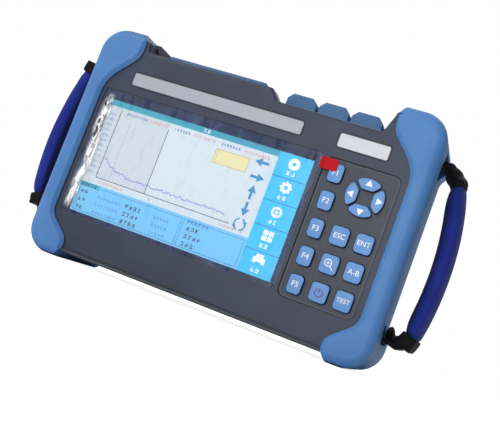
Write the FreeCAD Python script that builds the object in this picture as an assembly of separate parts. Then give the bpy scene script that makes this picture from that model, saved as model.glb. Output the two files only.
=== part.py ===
import FreeCAD, Part
import math
import os
from FreeCAD import Vector

# Handheld optical time domain reflectometer, standing upright on its two end bumpers.
# Millimetres. X runs to the right along the long side, Y runs from the screen to the back,
# Z is up. The origin is on the standing plane, midway between the ends and the faces.

# ---- body and end bumpers ----
body_width = 253.0
body_height = 168.0
body_depth = 73.6
bumper_corner = 18.0        # corner radius seen from the front
bumper_round = 6.5          # rounding of the outer front and back edges
bumper_side = 7.0           # rubber thickness at the ends
bumper_plate = 4.5          # rubber thickness above and below the housing
bumper_proud = 3.5          # how far the rubber stands in front of the screen side
lip_width = 13.7            # rubber seen from the front beside the keys
horn_width = 33.7           # rubber seen from the front at the top corners
foot_width = 30.7           # and at the bottom corners
horn_flat = 17.4            # height of the wide top corner
horn_end = 39.0             # where the top corner has narrowed to the lip
foot_flat = 13.9
foot_end = 28.3
horn_cut = 3.4              # how far the rubber's top end leans outwards
foot_cut = 5.2
cut_height = 6.5
grip_set_back = 3.5         # hand recess in the end, behind the strap
grip_low = 32.0
grip_below_strap = 5.0
grip_ramp = 10.0
grip_front = -14.0
push_fit = 0.15             # gap between rubber and housing
overcut = 20.0              # how far a cut runs past what it cuts

# ---- housing shells ----
wall = 3.0
bezel_depth = 13.3          # depth of the front shell
bezel_round = 2.5
hump_step = 3.0             # bezel's high top edge below the data ports' face
hump_gap = 14.0             # right end of the bezel's high top edge to the first port
hump_ramp = 7.0
port_drop = 19.6            # optical ports' face below the bumpers' tops
notch_gap = 2.5             # right end of the optical ports' face inside the shoulder
notch_ramp = 5.3
cover_drop = 8.7            # data ports' face below the bumpers' tops
deck_gap_left = 9.5         # where the high deck drops to the low one, left of the hump
shoulder_drop = 1.7
shoulder_gap = 4.3          # shoulder inside the bumper's top corner
shoulder_ramp = 2.0
seal_width = 1.0
seal_height = 1.4

# ---- screen ----
lens_lip_gap = 2.3          # between the lens and the left bumper's lip
lens_bottom = 31.0
lens_keypad_gap = 2.5
lens_plate_gap = 6.3
lens_corner = 2.0
lens_thick = 1.2
lens_ledge = 5.0            # rim of the bezel that carries the lens
film_thick = 0.2
ledge_thick = 0.6
panel_thick = 4.5
panel_margin = 1.5          # panel beyond the opening, all round
frame_thick = 1.0
frame_margin = 8.0
tab_width = 8.5
tab_reach = 12.5
tab_drop = 2.0              # tab's top edge below the film's

# ---- keypad ----
keypad_lip_gap = 4.3        # between the keypad and the right bumper's lip
keypad_bottom = 28.5
keypad_drop = 1.0           # keypad's top edge below the lens's
keypad_corner = 5.0
keypad_recess = 1.0
key_height = 12.3
key_corner = 2.5
key_proud = 1.0             # key top above the bezel face
key_travel = 1.0
key_gap = 0.45              # gap round a key in its hole
key_flange = 0.9
flange_thick = 1.2
flange_gap = 0.1
column_width = {"f": 9.3, "middle": 11.5, "right": 11.3}
column_margin_left = 5.05   # from the keypad's edge to the nearest keys
column_margin_right = 3.4
column_gap_left = 5.7       # between the columns of keys
column_gap_right = 4.75
first_row_margin = 9.6      # from the keypad's edges to the middles of the end rows
last_row_margin = 9.94
ring_inset = 18.5
ring_below_middle = 0.13    # below midway between the first two rows
ring_outer = 12.6
ring_inner = 5.0            # half the side of the square left open in the middle
ring_split = 1.8            # diagonal gap between the four arrow keys
arrow_corner = 1.6
mat_thick = 0.8
board_thick = 1.6

# ---- plates on the faces ----
plate_thick = 0.8
plate_recess = 0.5
plate_corner = 1.5
plate_drop = 21.3           # middle of both plates below the bezel's high edge
name_plate_inset = 20.2     # from the left bumper's lip
name_plate_right = 36.0
name_plate_height = 9.4
badge_plate_inset = 17.4    # from the right bumper's lip
badge_plate_width = 34.2
badge_plate_height = 9.6
label_stand_gap = 10.0
label_inset = 15.5
label_bottom = 70.0
label_top = 112.0

# ---- ports and their covers ----
port_pitch = 23.8
port_inset = 17.9           # last port inside the right end of its face
port_y = 6.0
adapter_flange = 14.0
adapter_flange_thick = 2.0
adapter_radius = 4.0
adapter_height = 12.0
ferrule_bore = 1.27
cap_width = 22.0
cap_depth = 24.0
cap_height = 15.0
cap_wall = 2.2
cap_chamfer = 3.8
cover_inset = 4.5           # data ports' cover inside the left shoulder
cover_step_gap = 3.0        # and short of the step in the deck
cover_front = -11.0
cover_depth = 24.0
cover_thick = 4.3
knuckle_radius = 1.7
hinge_pin_radius = 0.8
cap_knuckle = 10.0
cover_knuckle = 40.0
ear_width = 3.5
hinge_gap = 0.3
running_fit = 0.05
deck_gap = 0.2

# ---- boards and what is on them ----
mainboard_y = -9.6
mainboard_inset = 16.5      # main board's ends inside the housing's
mainboard_bottom = 18.0
mainboard_drop = 11.4       # main board's top edge below the low ceiling
port_board_drop = 9.3       # its raised end below the data ports' face
standoff_radius = 2.6
jack_drop = 0.5             # sockets' mouths below the data ports' face
jack_height = 20.4
jack_margin = 3.0           # first socket inside the cover's left end
jack_gap = 0.3              # between a socket and its hole
jack_width = {"ethernet": 16.0, "host_1": 13.2, "host_2": 13.2, "device": 7.5, "power": 9.0}
jack_depth = {"ethernet": 13.5, "host_1": 5.8, "host_2": 5.8, "device": 2.9, "power": 10.5}
space_before_jack = {"host_1": 4.0, "host_2": 3.3, "device": 3.3, "power": 3.5}
ethernet_reach = 14.0       # depth of each socket's mouth
usb_reach = 10.0
power_reach = 10.0
ethernet_wall = 2.05
ethernet_wall_front = 3.0
ethernet_wall_back = 2.5
usb_rim = 0.4
tongue_root = 0.5           # the tongue's length inside the socket's floor
tongue_below_mouth = 1.0
tongue_inset = 1.2
tongue_thick = {"host_1": 2.0, "host_2": 2.0, "device": 0.8}
power_bore = 2.9
power_pin = 1.05
module_left_margin = 14.5   # module's ends past the first and last port
module_right_margin = 13.9
module_height = 42.0
module_drop = 5.4           # below the low ceiling
module_depth = 24.0
shield_box = (-92.0, -30.0, 60.0, 112.0)
shield_height = 4.0
speaker_x = 75.0
speaker_z = 45.0
speaker_radius = 14.0
speaker_thick = 5.0

# ---- battery and its door ----
door_inset = 14.5           # door's outer edge inside the housing's end
door_stand_gap = 9.0
door_bottom = 21.0
door_drop = 15.0            # door's top edge below the upper housing screws
door_thick = 2.5
door_corner = 3.0
door_gap = 0.25
bay_side = 4.0              # from the door's edges to the battery bay
bay_end = 10.0
bay_depth = 22.5
bay_wall = 2.0
pad_thick = 5.3             # back wall round the door
door_screw_inset = 5.0
battery_gap = 0.3

# ---- stand on the back ----
stand_half = 32.0
stand_thick = 4.0
stand_bottom = 30.0
stand_drop = 15.0           # stand's hinge below the upper housing screws
stand_gap = 0.4
stand_pin_radius = 1.2
stand_pin_reach = 4.0
tip_height = 3.0
tip_half = 28.0
notch_half = 12.0
notch_height = 6.4
well_wall = 2.0

# ---- screws ----
housing_screw_inset = 29.5  # outer screws inside the housing's ends
screw_step_gap = 3.0        # middle screws right of the step in the deck
housing_screw_rise = 8.0    # lower screws above the housing's bottom
housing_screw_drop = 5.4    # upper screws below the low ceiling
housing_screw_seat = -10.0
screw_radius = 1.5
screw_head = 2.9
screw_head_height = 2.2
column_radius = 4.5
small_screw_radius = 1.2
small_head = 2.2
small_head_height = 1.4
screw_slack = 0.05

# ---- hand straps ----
strap_y = 3.2
webbing_width = 25.0
webbing_thick = 3.0
sleeve_width = 34.0
sleeve_thick = 12.0
sleeve_round = 4.5
sleeve_end_run = 0.5644     # straight run left at the sleeve's nearer end
sleeve_top_gap = 13.0       # sleeve's ends below and above the strap's bends
sleeve_bottom_gap = 12.0
sleeve_play = 0.3
cuff_width = 30.0
cuff_thick = 9.5
cuff_length = 8.0
strap_pin_radius = 2.0
strap_pin_inset = 6.5       # pin axis inside the housing's end wall
strap_drop = 23.0           # upper pins below the bumpers' tops
strap_bottom_z = 28.5
slot_height = 13.0
slot_width = 32.0
pocket_depth = 13.5
pocket_wall = 2.0
strap_top_out = 8.5         # bends and belly of the strap outside the bumpers
strap_belly_out = 24.5
strap_bottom_out = 13.0
strap_bottom_dip = 6.0      # lower bend below its pin
strap_sag = 4.75            # belly below midway between the pins
strap_top_bend = 12.0
strap_bottom_bend = 6.0

# ---- values worked out from the above ----
half_width = body_width / 2
front_y = -body_depth / 2
face_y = front_y + bumper_proud
back_y = -face_y
inner_y = face_y + wall
rear_inner_y = back_y - wall
parting_y = face_y + bezel_depth
core_half = half_width - bumper_side
core_bottom = bumper_plate
core_top = body_height - bumper_plate
core_corner = bumper_corner - bumper_side
cavity_half = core_half - wall
horn_x = half_width - horn_width
foot_x = half_width - foot_width
lip_x = half_width - lip_width
shoulder_in = horn_x - shoulder_gap
notch_right = shoulder_in - notch_gap
port_x = (notch_right - port_inset - 2 * port_pitch, notch_right - port_inset - port_pitch,
          notch_right - port_inset)
hump_right = port_x[0] - hump_gap
deck_step = hump_right - deck_gap_left
cover_left = cover_inset - shoulder_in
cover_right = deck_step - cover_step_gap
shoulder_top = body_height - shoulder_drop
cover_deck = body_height - cover_drop
port_deck = body_height - port_drop
bezel_top = cover_deck - hump_step
low_ceiling = port_deck - wall
plate_z = bezel_top - plate_drop
name_plate_left = name_plate_inset - lip_x
badge_plate_right = lip_x - badge_plate_inset
badge_plate_left = badge_plate_right - badge_plate_width
name_plate_box = (name_plate_left, name_plate_right,
                  plate_z - name_plate_height / 2, plate_z + name_plate_height / 2)
badge_plate_box = (badge_plate_left, badge_plate_right,
                   plate_z - badge_plate_height / 2, plate_z + badge_plate_height / 2)
lens_left = lens_lip_gap - lip_x
lens_top = name_plate_box[2] - lens_plate_gap
tab_top = lens_top - tab_drop
keypad_top = lens_top - keypad_drop
keypad_right = lip_x - keypad_lip_gap
column_x = {"right": keypad_right - column_margin_right - column_width["right"] / 2}
column_x["middle"] = (column_x["right"] - column_gap_right
                      - (column_width["right"] + column_width["middle"]) / 2)
column_x["f"] = (column_x["middle"] - column_gap_left
                 - (column_width["middle"] + column_width["f"]) / 2)
keypad_left = column_x["f"] - column_width["f"] / 2 - column_margin_left
lens_right = keypad_left - lens_keypad_gap
first_row_z = keypad_top - first_row_margin
last_row_z = keypad_bottom + last_row_margin
row_pitch = (first_row_z - last_row_z) / 4
ring_x = keypad_right - ring_inset
ring_z = first_row_z - row_pitch / 2 - ring_below_middle
strap_top_z = body_height - strap_drop
grip_high = strap_top_z - grip_below_strap
strap_bend_top = (half_width + strap_top_out, strap_top_z, strap_top_bend)
strap_belly = (half_width + strap_belly_out, (strap_top_z + strap_bottom_z) / 2 - strap_sag)
strap_bend_bottom = (half_width + strap_bottom_out, strap_bottom_z - strap_bottom_dip,
                     strap_bottom_bend)
rear_label_box = (stand_half + label_stand_gap, core_half - label_inset,
                  label_bottom, label_top)
housing_screw_x = (housing_screw_inset - core_half, deck_step + screw_step_gap,
                   core_half - housing_screw_inset)
housing_screw_z = (core_bottom + housing_screw_rise, low_ceiling - housing_screw_drop)
mainboard_half = core_half - mainboard_inset
mainboard_box = (-mainboard_half, mainboard_half, mainboard_bottom, low_ceiling - mainboard_drop)
port_board_top = cover_deck - port_board_drop
jack_top = cover_deck - jack_drop
jack_bottom = jack_top - jack_height
module_top = low_ceiling - module_drop
module_box = (port_x[0] - module_left_margin, port_x[2] + module_right_margin,
              module_top - module_height, module_top)
door_left = door_inset - core_half
door_right = -stand_half - door_stand_gap
door_box = (door_left, door_right, door_bottom, housing_screw_z[1] - door_drop)
bay_box = (door_left + bay_side, door_right - bay_side, door_bottom + bay_end,
           door_box[3] - bay_end)
stand_hinge_z = housing_screw_z[1] - stand_drop
lens_y = face_y + film_thick / 2 + 0.05
lens_back_y = lens_y + lens_thick
panel_y = lens_back_y + ledge_thick
panel_back_y = panel_y + panel_thick
frame_back_y = panel_back_y + frame_thick
keypad_floor_y = face_y + keypad_recess
key_front_y = face_y - key_proud
flange_y = inner_y + flange_gap
key_back_y = flange_y + flange_thick
mat_y = key_back_y + key_travel + 0.3
keyboard_y = mat_y + mat_thick
keyboard_back_y = keyboard_y + board_thick
mainboard_back_y = mainboard_y + board_thick


def outline(points, y):
    """Closed wire in the plane at y through (x, z, corner radius) points."""
    ends = []
    for i, (x, z, radius) in enumerate(points):
        corner = Vector(x, y, z)
        before = Vector(points[i - 1][0], y, points[i - 1][1])
        after = Vector(points[(i + 1) % len(points)][0], y, points[(i + 1) % len(points)][1])
        if radius <= 0:
            ends.append((corner, None, corner))
            continue
        back = (before - corner).normalize()
        ahead = (after - corner).normalize()
        half = back.getAngle(ahead) / 2
        run = radius / math.tan(half)
        bisector = (back + ahead).normalize()
        middle = corner + bisector * (radius / math.sin(half) - radius)
        ends.append((corner + back * run, middle, corner + ahead * run))
    edges = []
    for i, (start, middle, end) in enumerate(ends):
        if middle is not None:
            edges.append(Part.Arc(start, middle, end).toShape())
        following = ends[(i + 1) % len(ends)][0]
        if (end - following).Length > 1e-6:
            edges.append(Part.makeLine(end, following))
    return Part.Wire(edges)


def prism(points, y0, y1):
    """Solid between y0 and y1 with the given outline."""
    return Part.Face(outline(points, y0)).extrude(Vector(0, y1 - y0, 0))


def rounded(x0, x1, z0, z1, radius, y0, y1):
    return prism([(x0, z0, radius), (x1, z0, radius), (x1, z1, radius), (x0, z1, radius)], y0, y1)


def box(x0, x1, y0, y1, z0, z1):
    return Part.makeBox(x1 - x0, y1 - y0, z1 - z0, Vector(x0, y0, z0))


def rod_x(x0, x1, y, z, radius):
    return Part.makeCylinder(radius, x1 - x0, Vector(x0, y, z), Vector(1, 0, 0))


def rod_y(y0, y1, x, z, radius):
    return Part.makeCylinder(radius, y1 - y0, Vector(x, y0, z), Vector(0, 1, 0))


def rod_z(z0, z1, x, y, radius):
    return Part.makeCylinder(radius, z1 - z0, Vector(x, y, z0), Vector(0, 0, 1))


def joined(shapes):
    whole = shapes[0].multiFuse(shapes[1:]) if len(shapes) > 1 else shapes[0]
    return whole.removeSplitter()


def mirrored(shape):
    return shape.mirror(Vector(0, 0, 0), Vector(1, 0, 0))


def save(name, *solids):
    """Write one node: its solids side by side in one file."""
    shape = solids[0] if len(solids) == 1 else Part.makeCompound(list(solids))
    shape.exportStep(os.path.join("parts", name + ".step"))


def screw(x, z, seat_y, tip_y, shank, head, head_height):
    """Screw along Y whose head bears on seat_y from the back side."""
    return joined([rod_y(tip_y, seat_y, x, z, shank), rod_y(seat_y, seat_y + head_height, x, z, head)])


# ---- end bumpers ----
right_opening = [
    (horn_x + horn_cut, body_height + overcut, 0),
    (horn_x + horn_cut, body_height, 1.0),
    (horn_x, body_height - cut_height, 4.0),
    (horn_x, body_height - horn_flat, 14.0),
    (lip_x, body_height - horn_end, 26.0),
    (lip_x, foot_end, 12.0),
    (foot_x, foot_flat, 8.5),
    (foot_x, cut_height, 4.0),
    (foot_x + foot_cut, 0, 0),
    (foot_x + foot_cut, -overcut, 0),
]


def mirrored_points(points):
    return [(-x, z, radius) for x, z, radius in reversed(points)]


def inside(shape, edge):
    """True for a front or back edge that lies off the block's outer outline."""
    middle = edge.valueAt((edge.FirstParameter + edge.LastParameter) / 2)
    limits = shape.BoundBox
    return min(middle.x - limits.XMin, limits.XMax - middle.x,
               middle.z - limits.ZMin, limits.ZMax - middle.z) > 0.01


def strap_slot(z, x0, x1):
    """Slot that lets a strap end through the rubber or the housing wall."""
    return rounded(x0, x1, z - slot_height / 2, z + slot_height / 2, 0,
                   strap_y - slot_width / 2, strap_y + slot_width / 2)


def make_bumper():
    block = rounded(-half_width, half_width, 0, body_height, bumper_corner, front_y, -front_y)
    rims = [edge for edge in block.Edges
            if edge.BoundBox.YLength < 1e-6 and abs(abs(edge.BoundBox.YMin) - body_depth / 2) < 1e-6]
    block = block.makeFillet(bumper_round, rims)
    opening = prism(right_opening + mirrored_points(right_opening), front_y - 10, -front_y + 10)
    core = rounded(-core_half - push_fit, core_half + push_fit, core_bottom - push_fit,
                   core_top + push_fit, core_corner, face_y - push_fit, back_y + push_fit)
    ends = block.cut(opening)
    right = [solid for solid in ends.Solids if solid.CenterOfMass.x > 0][0].cut(core)
    far = half_width + 5
    recess_x = half_width - grip_set_back
    lengthwise = prism([(recess_x, grip_low, 6.0), (far, grip_low - grip_ramp, 0),
                        (far, grip_high + grip_ramp, 0), (recess_x, grip_high, 6.0)],
                       grip_front - overcut, -front_y + 5)
    across = Part.Face(Part.makePolygon([
        Vector(far, grip_front - 10, 0), Vector(recess_x, grip_front, 0),
        Vector(recess_x, -front_y + 5, 0), Vector(far, -front_y + 5, 0),
        Vector(far, grip_front - 10, 0)])).extrude(Vector(0, 0, body_height))
    right = right.cut(lengthwise.common(across))
    for z in (strap_top_z, strap_bottom_z):
        right = right.cut(strap_slot(z, core_half - 1, far))
    return right


# ---- housing shells ----
def plate_end(z):
    """Where the bumper's top plate ends at height z."""
    return horn_x + horn_cut * (z - (body_height - cut_height)) / cut_height - push_fit


housing_bottom = [(-core_half, core_bottom, core_corner), (core_half, core_bottom, core_corner)]
bezel_outline = housing_bottom + [
    (core_half, core_top, core_corner),
    (notch_right + notch_ramp, core_top, 1.0),
    (notch_right, port_deck, 1.5),
    (hump_right + hump_ramp, port_deck, 1.5),
    (hump_right, bezel_top, 2.0),
    (-shoulder_in, bezel_top, 1.0),
    (-shoulder_in - shoulder_ramp, core_top, 1.0),
    (-core_half, core_top, core_corner),
]
shoulder_foot = shoulder_in - shoulder_ramp
rear_outline = housing_bottom + [
    (core_half, core_top, core_corner),
    (plate_end(core_top), core_top, 0),
    (plate_end(shoulder_top), shoulder_top, 1.0),
    (shoulder_in, shoulder_top, 1.0),
    (shoulder_foot, port_deck, 1.5),
    (deck_step, port_deck, 1.0),
    (deck_step, cover_deck, 1.0),
    (-shoulder_foot, cover_deck, 1.0),
    (-shoulder_in, shoulder_top, 1.0),
    (-plate_end(shoulder_top), shoulder_top, 1.0),
    (-plate_end(core_top), core_top, 0),
    (-core_half, core_top, core_corner),
]
cavity_bottom = [(-cavity_half, core_bottom + wall, core_corner - wall),
                 (cavity_half, core_bottom + wall, core_corner - wall)]
bezel_cavity = cavity_bottom + [
    (cavity_half, low_ceiling, 4.0),
    (hump_right - 1.0, low_ceiling, 0),
    (hump_right - 1.0, bezel_top - wall, 0),
    (-cavity_half, bezel_top - wall, 4.0),
]
rear_cavity = cavity_bottom + [
    (cavity_half, low_ceiling, 4.0),
    (deck_step - wall, low_ceiling, 0),
    (deck_step - wall, cover_deck - wall, 0),
    (-shoulder_foot + wall, cover_deck - wall, 0),
    (-shoulder_foot + wall, low_ceiling, 0),
    (-cavity_half, low_ceiling, 4.0),
]
screw_places = [(x, z) for x in housing_screw_x for z in housing_screw_z]


def seal_ring(grow):
    """Closed band in the joint between the shells, grown sideways by the given gap."""
    middle = wall / 2
    band = [seal_width / 2 + grow, -seal_width / 2 - grow]
    rings = []
    for offset in band:
        inset = middle - offset
        half = core_half - inset
        rings.append(rounded(-half, half, core_bottom + inset, low_ceiling + middle + offset,
                             core_corner - inset, parting_y, parting_y + seal_height))
    return rings[0].cut(rings[1])


# ---- keys: name, column, row ----
key_grid = [("key_f%d" % (row + 1), "f", row) for row in range(5)]
key_grid += [("key_esc", "middle", 2), ("key_enter", "right", 2), ("key_zoom", "middle", 3),
             ("key_ab", "right", 3), ("key_power", "middle", 4), ("key_test", "right", 4)]
arrow_names = ("key_right", "key_up", "key_left", "key_down")


def grid_key(column, row, grow, y0, y1):
    """Straight block of one key, grown sideways all round."""
    x = column_x[column]
    z = first_row_z - row * row_pitch
    half_x = column_width[column] / 2 + grow
    half_z = key_height / 2 + grow
    return rounded(x - half_x, x + half_x, z - half_z, z + half_z, key_corner + grow, y0, y1)


def arrow_key(index, grow, y0, y1):
    """One quarter of the arrow ring, grown sideways all round."""
    ring = rod_y(y0, y1, ring_x, ring_z, ring_outer + grow)
    square = ring_inner - grow
    ring = ring.cut(box(ring_x - square, ring_x + square, y0 - 1, y1 + 1,
                        ring_z - square, ring_z + square))
    split = ring_split / 2 - grow
    reach = ring_outer * 3
    middle = Vector(ring_x, y0, ring_z)
    apex = split * math.sqrt(2)
    wedge = Part.makePolygon([Vector(apex, 0, 0), Vector(apex + reach, 0, reach),
                              Vector(apex + reach, 0, -reach), Vector(apex, 0, 0)])
    wedge = Part.Face(wedge).extrude(Vector(0, y1 - y0, 0))
    wedge.rotate(Vector(0, 0, 0), Vector(0, 1, 0), -90 * index)
    wedge.translate(middle)
    quarter = ring.common(wedge).Solids[0]
    corners = [edge for edge in quarter.Edges if edge.BoundBox.YLength > y1 - y0 - 1e-6
               and edge.BoundBox.XLength < 1e-6 and edge.BoundBox.ZLength < 1e-6]
    return quarter.makeFillet(arrow_corner + grow, corners).Solids[0]


def key_solids(y0, y1, grow):
    """Every key's block between two depths, by name."""
    solids = {name: grid_key(column, row, grow, y0, y1) for name, column, row in key_grid}
    for index, name in enumerate(arrow_names):
        solids[name] = arrow_key(index, grow, y0, y1)
    return solids


# ---- small fixings inside the front ----
boss_out = 2.5
keypad_bosses = [(x, z) for x in (keypad_left + boss_out, keypad_right - boss_out)
                 for z in (keypad_bottom - boss_out - 1.5, keypad_top + boss_out + 1.5)]
panel_box = (lens_left + lens_ledge - panel_margin, lens_right - lens_ledge + panel_margin + 1.0,
             lens_bottom + 0.5, lens_top - 2.5)
frame_boss_out = 4.5
frame_bosses = [(x, z) for x in (panel_box[0] - frame_boss_out, panel_box[1] - 4.5)
                for z in (panel_box[2] - frame_boss_out, panel_box[3] + frame_boss_out)]
boss_radius = 3.0


def make_bezel():
    shell = prism(bezel_outline, face_y, parting_y)
    rims = [edge for edge in shell.Edges
            if edge.BoundBox.YLength < 1e-6 and abs(edge.BoundBox.YMin - face_y) < 1e-6]
    shell = shell.makeFillet(bezel_round, rims)
    shell = shell.cut(prism(bezel_cavity, inner_y, parting_y + 1))
    shell = shell.cut(rounded(lens_left, lens_right, lens_bottom, lens_top, lens_corner,
                              face_y - 1, lens_back_y))
    shell = shell.cut(rounded(lens_left + lens_ledge, lens_right - lens_ledge + 1,
                              lens_bottom + 2, lens_top - lens_ledge, 1.0, face_y, inner_y + 1))
    x0, x1, z0, z1 = panel_box
    shell = shell.cut(box(x0 - 0.2, x1 + 0.2, panel_y, inner_y + 1, z0 - 0.2, z1 + 0.2))
    shell = shell.cut(rounded(keypad_left, keypad_right, keypad_bottom, keypad_top, keypad_corner,
                              face_y - 1, keypad_floor_y))
    for hole in key_solids(face_y, inner_y + 1, key_gap).values():
        shell = shell.cut(hole)
    for plate in (name_plate_box, badge_plate_box):
        px0, px1, pz0, pz1 = plate
        shell = shell.cut(rounded(px0 - push_fit, px1 + push_fit, pz0 - push_fit, pz1 + push_fit,
                                  plate_corner + push_fit, face_y - 1, face_y + plate_recess))
    bosses = [rod_y(inner_y, keyboard_y, x, z, boss_radius) for x, z in keypad_bosses]
    bosses += [rod_y(inner_y, panel_back_y, x, z, boss_radius) for x, z in frame_bosses]
    bosses += [rod_y(inner_y, parting_y, x, z, column_radius) for x, z in screw_places]
    shell = joined([shell] + bosses)
    for x, z in keypad_bosses:
        shell = shell.cut(rod_y(inner_y + 0.5, keyboard_y + 1, x, z, small_screw_radius + screw_slack))
    for x, z in frame_bosses:
        shell = shell.cut(rod_y(inner_y + 0.5, panel_back_y + 1, x, z, small_screw_radius + screw_slack))
    for x, z in screw_places:
        shell = shell.cut(rod_y(inner_y + 1, parting_y + 1, x, z, screw_radius + screw_slack))
    return shell


# ---- rear shell ----
well_y = back_y - stand_thick - 0.6
stand_y = back_y - 0.2 - stand_thick / 2
well_half = stand_half + stand_gap
well_bottom = stand_bottom - tip_height - 0.6
well_top = stand_hinge_z + stand_thick / 2 + stand_gap
pin_end = well_half + stand_pin_reach
door_y = back_y - door_thick
door_screw_x = (door_box[0] + door_box[1]) / 2
door_screw_z = (door_box[2] + door_screw_inset, door_box[3] - door_screw_inset)
bay_front_y = back_y - pad_thick - bay_depth + door_thick
jack_y = mainboard_back_y
jacks = {}  # x range, depth of each socket body
jack_left = cover_left + jack_margin
for name, width in jack_width.items():
    jack_left += space_before_jack.get(name, 0)
    jacks[name] = (jack_left, jack_left + width, jack_depth[name])
    jack_left += width
cap_axis_y = port_y + cap_depth / 2 + knuckle_radius + hinge_gap
cap_axis_z = port_deck + deck_gap + knuckle_radius
cover_axis_y = cover_front + cover_depth + knuckle_radius + hinge_gap
cover_axis_z = cover_deck + deck_gap + knuckle_radius
cover_x = (cover_left + cover_right) / 2
hinges = [(x, cap_axis_y, cap_axis_z, cap_knuckle, port_deck) for x in port_x]
hinges.append((cover_x, cover_axis_y, cover_axis_z, cover_knuckle, cover_deck))


def hinge_ears(x, y, z, knuckle, deck):
    """Two ears that hold a hinge pin above a deck."""
    ears = []
    for side in (-1, 1):
        near = x + side * (knuckle / 2 + hinge_gap)
        far = near + side * ear_width
        low, high = min(near, far), max(near, far)
        ears.append(rod_x(low, high, y, z, knuckle_radius))
        ears.append(box(low, high, y - knuckle_radius, y + knuckle_radius, deck - 0.5, z))
    return ears


def pocket(z, depth_extra, side_extra):
    """Room inside an end wall for a strap end and its pin, on the right-hand side."""
    x0 = core_half - pocket_depth - depth_extra
    half = slot_height / 2 + side_extra
    return box(x0, core_half, strap_y - slot_width / 2 - side_extra,
               strap_y + slot_width / 2 + side_extra, z - half, z + half)


def make_rear_shell():
    shell = prism(rear_outline, parting_y, back_y)
    shell = shell.cut(prism(rear_cavity, parting_y - 1, rear_inner_y))
    for side in (-1, 1):
        near, far = sorted((side * (shoulder_in + 7.5), side * cavity_half))
        shell = shell.cut(box(near, far, parting_y - 1, rear_inner_y, low_ceiling - 4, core_top - wall))
    shell = shell.cut(seal_ring(0.05))
    additions = [rod_y(parting_y, rear_inner_y, x, z, column_radius) for x, z in screw_places]
    pockets = [pocket(z, pocket_wall, pocket_wall) for z in (strap_top_z, strap_bottom_z)]
    additions += pockets + [mirrored(block) for block in pockets]
    additions.append(box(door_box[0] - 2, door_box[1] + 2, back_y - pad_thick, back_y,
                         door_box[2] - 2, door_box[3] + 2))
    additions.append(box(bay_box[0] - bay_wall, bay_box[1] + bay_wall, bay_front_y - bay_wall,
                         back_y - pad_thick, bay_box[2] - bay_wall, bay_box[3] + bay_wall))
    additions.append(box(-well_half - well_wall, well_half + well_wall, well_y - well_wall, back_y,
                         well_bottom - well_wall, well_top + well_wall))
    additions.append(box(-notch_half - well_wall, notch_half + well_wall, well_y - well_wall, back_y,
                         well_bottom - notch_height - well_wall, well_bottom))
    additions.append(box(-pin_end - 2, pin_end + 2, well_y - well_wall, back_y,
                         stand_hinge_z - 4, stand_hinge_z + 4))
    for hinge in hinges:
        additions += hinge_ears(*hinge)
    shell = joined([shell] + additions)
    cuts = [pocket(z, 0, 0) for z in (strap_top_z, strap_bottom_z)]
    cuts += [mirrored(block) for block in cuts]
    for z in (strap_top_z, strap_bottom_z):
        pin = strap_pin(z, running_fit)
        cuts += [pin, mirrored(pin)]
    cuts.append(rounded(*door_box[:2], *door_box[2:], door_corner, door_y - 0.1, back_y + 1))
    cuts.append(box(*bay_box[:2], bay_front_y, back_y, *bay_box[2:]))
    cuts.append(box(-well_half, well_half, well_y, back_y + 1, well_bottom, well_top))
    cuts.append(box(-notch_half, notch_half, well_y, back_y + 1,
                    well_bottom - notch_height, well_bottom + 1))
    cuts.append(rod_x(-pin_end - running_fit, pin_end + running_fit, stand_y, stand_hinge_z,
                      stand_pin_radius + running_fit))
    for z in door_screw_z:
        cuts.append(rod_y(back_y - pad_thick - 1, back_y, door_screw_x, z,
                          screw_radius + running_fit))
    for x, z in screw_places:
        cuts.append(rod_y(parting_y - 1, housing_screw_seat, x, z, screw_radius + screw_slack))
        cuts.append(rod_y(housing_screw_seat, back_y + 1, x, z, screw_head + 0.3))
    for x0, x1, depth in jacks.values():
        cuts.append(box(x0 - jack_gap, x1 + jack_gap, jack_y - jack_gap, jack_y + depth + jack_gap,
                        low_ceiling, cover_deck + 1))
    for x in port_x:
        cuts.append(rod_z(low_ceiling - 1, port_deck + 1, x, port_y, adapter_radius + 0.6))
    for x, y, z, knuckle, _ in hinges:
        reach = knuckle / 2 + hinge_gap + ear_width + 1
        cuts.append(rod_x(x - reach, x + reach, y, z, hinge_pin_radius + running_fit))
    for step in range(5):
        z = speaker_z + (step - 2) * 4.0
        cuts.append(rounded(speaker_x - 9, speaker_x + 9, z - 0.8, z + 0.8, 0.7,
                            rear_inner_y - 1, back_y + 1))
    lx0, lx1, lz0, lz1 = rear_label_box
    cuts.append(rounded(lx0 - push_fit, lx1 + push_fit, lz0 - push_fit, lz1 + push_fit,
                        plate_corner, back_y - plate_recess, back_y + 1))
    for cut in cuts:
        shell = shell.cut(cut)
    return shell


# ---- hinged covers over the ports ----
def make_cap(x):
    """Rubber cap over one optical port, with its hinge barrel at the back."""
    bottom = port_deck + deck_gap
    top = bottom + cap_height
    half = cap_width / 2
    front = port_y - cap_depth / 2
    back = port_y + cap_depth / 2
    body = prism([(x - half, bottom, 0), (x + half, bottom, 0), (x + half, top - cap_chamfer, 1.5),
                  (x + half - cap_chamfer, top, 1.5), (x - half + cap_chamfer, top, 1.5),
                  (x - half, top - cap_chamfer, 1.5)], front, back)
    body = body.cut(box(x - half + cap_wall, x + half - cap_wall, front + cap_wall, back - cap_wall,
                        bottom - 1, top - cap_wall - 0.4))
    barrel = rod_x(x - cap_knuckle / 2, x + cap_knuckle / 2, cap_axis_y, cap_axis_z, knuckle_radius)
    web = box(x - cap_knuckle / 2, x + cap_knuckle / 2, back - 0.5, cap_axis_y,
              cap_axis_z - knuckle_radius, cap_axis_z + knuckle_radius)
    cap = joined([body, barrel, web])
    return cap.cut(rod_x(x - cap_width, x + cap_width, cap_axis_y, cap_axis_z,
                         hinge_pin_radius + running_fit))


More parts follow.
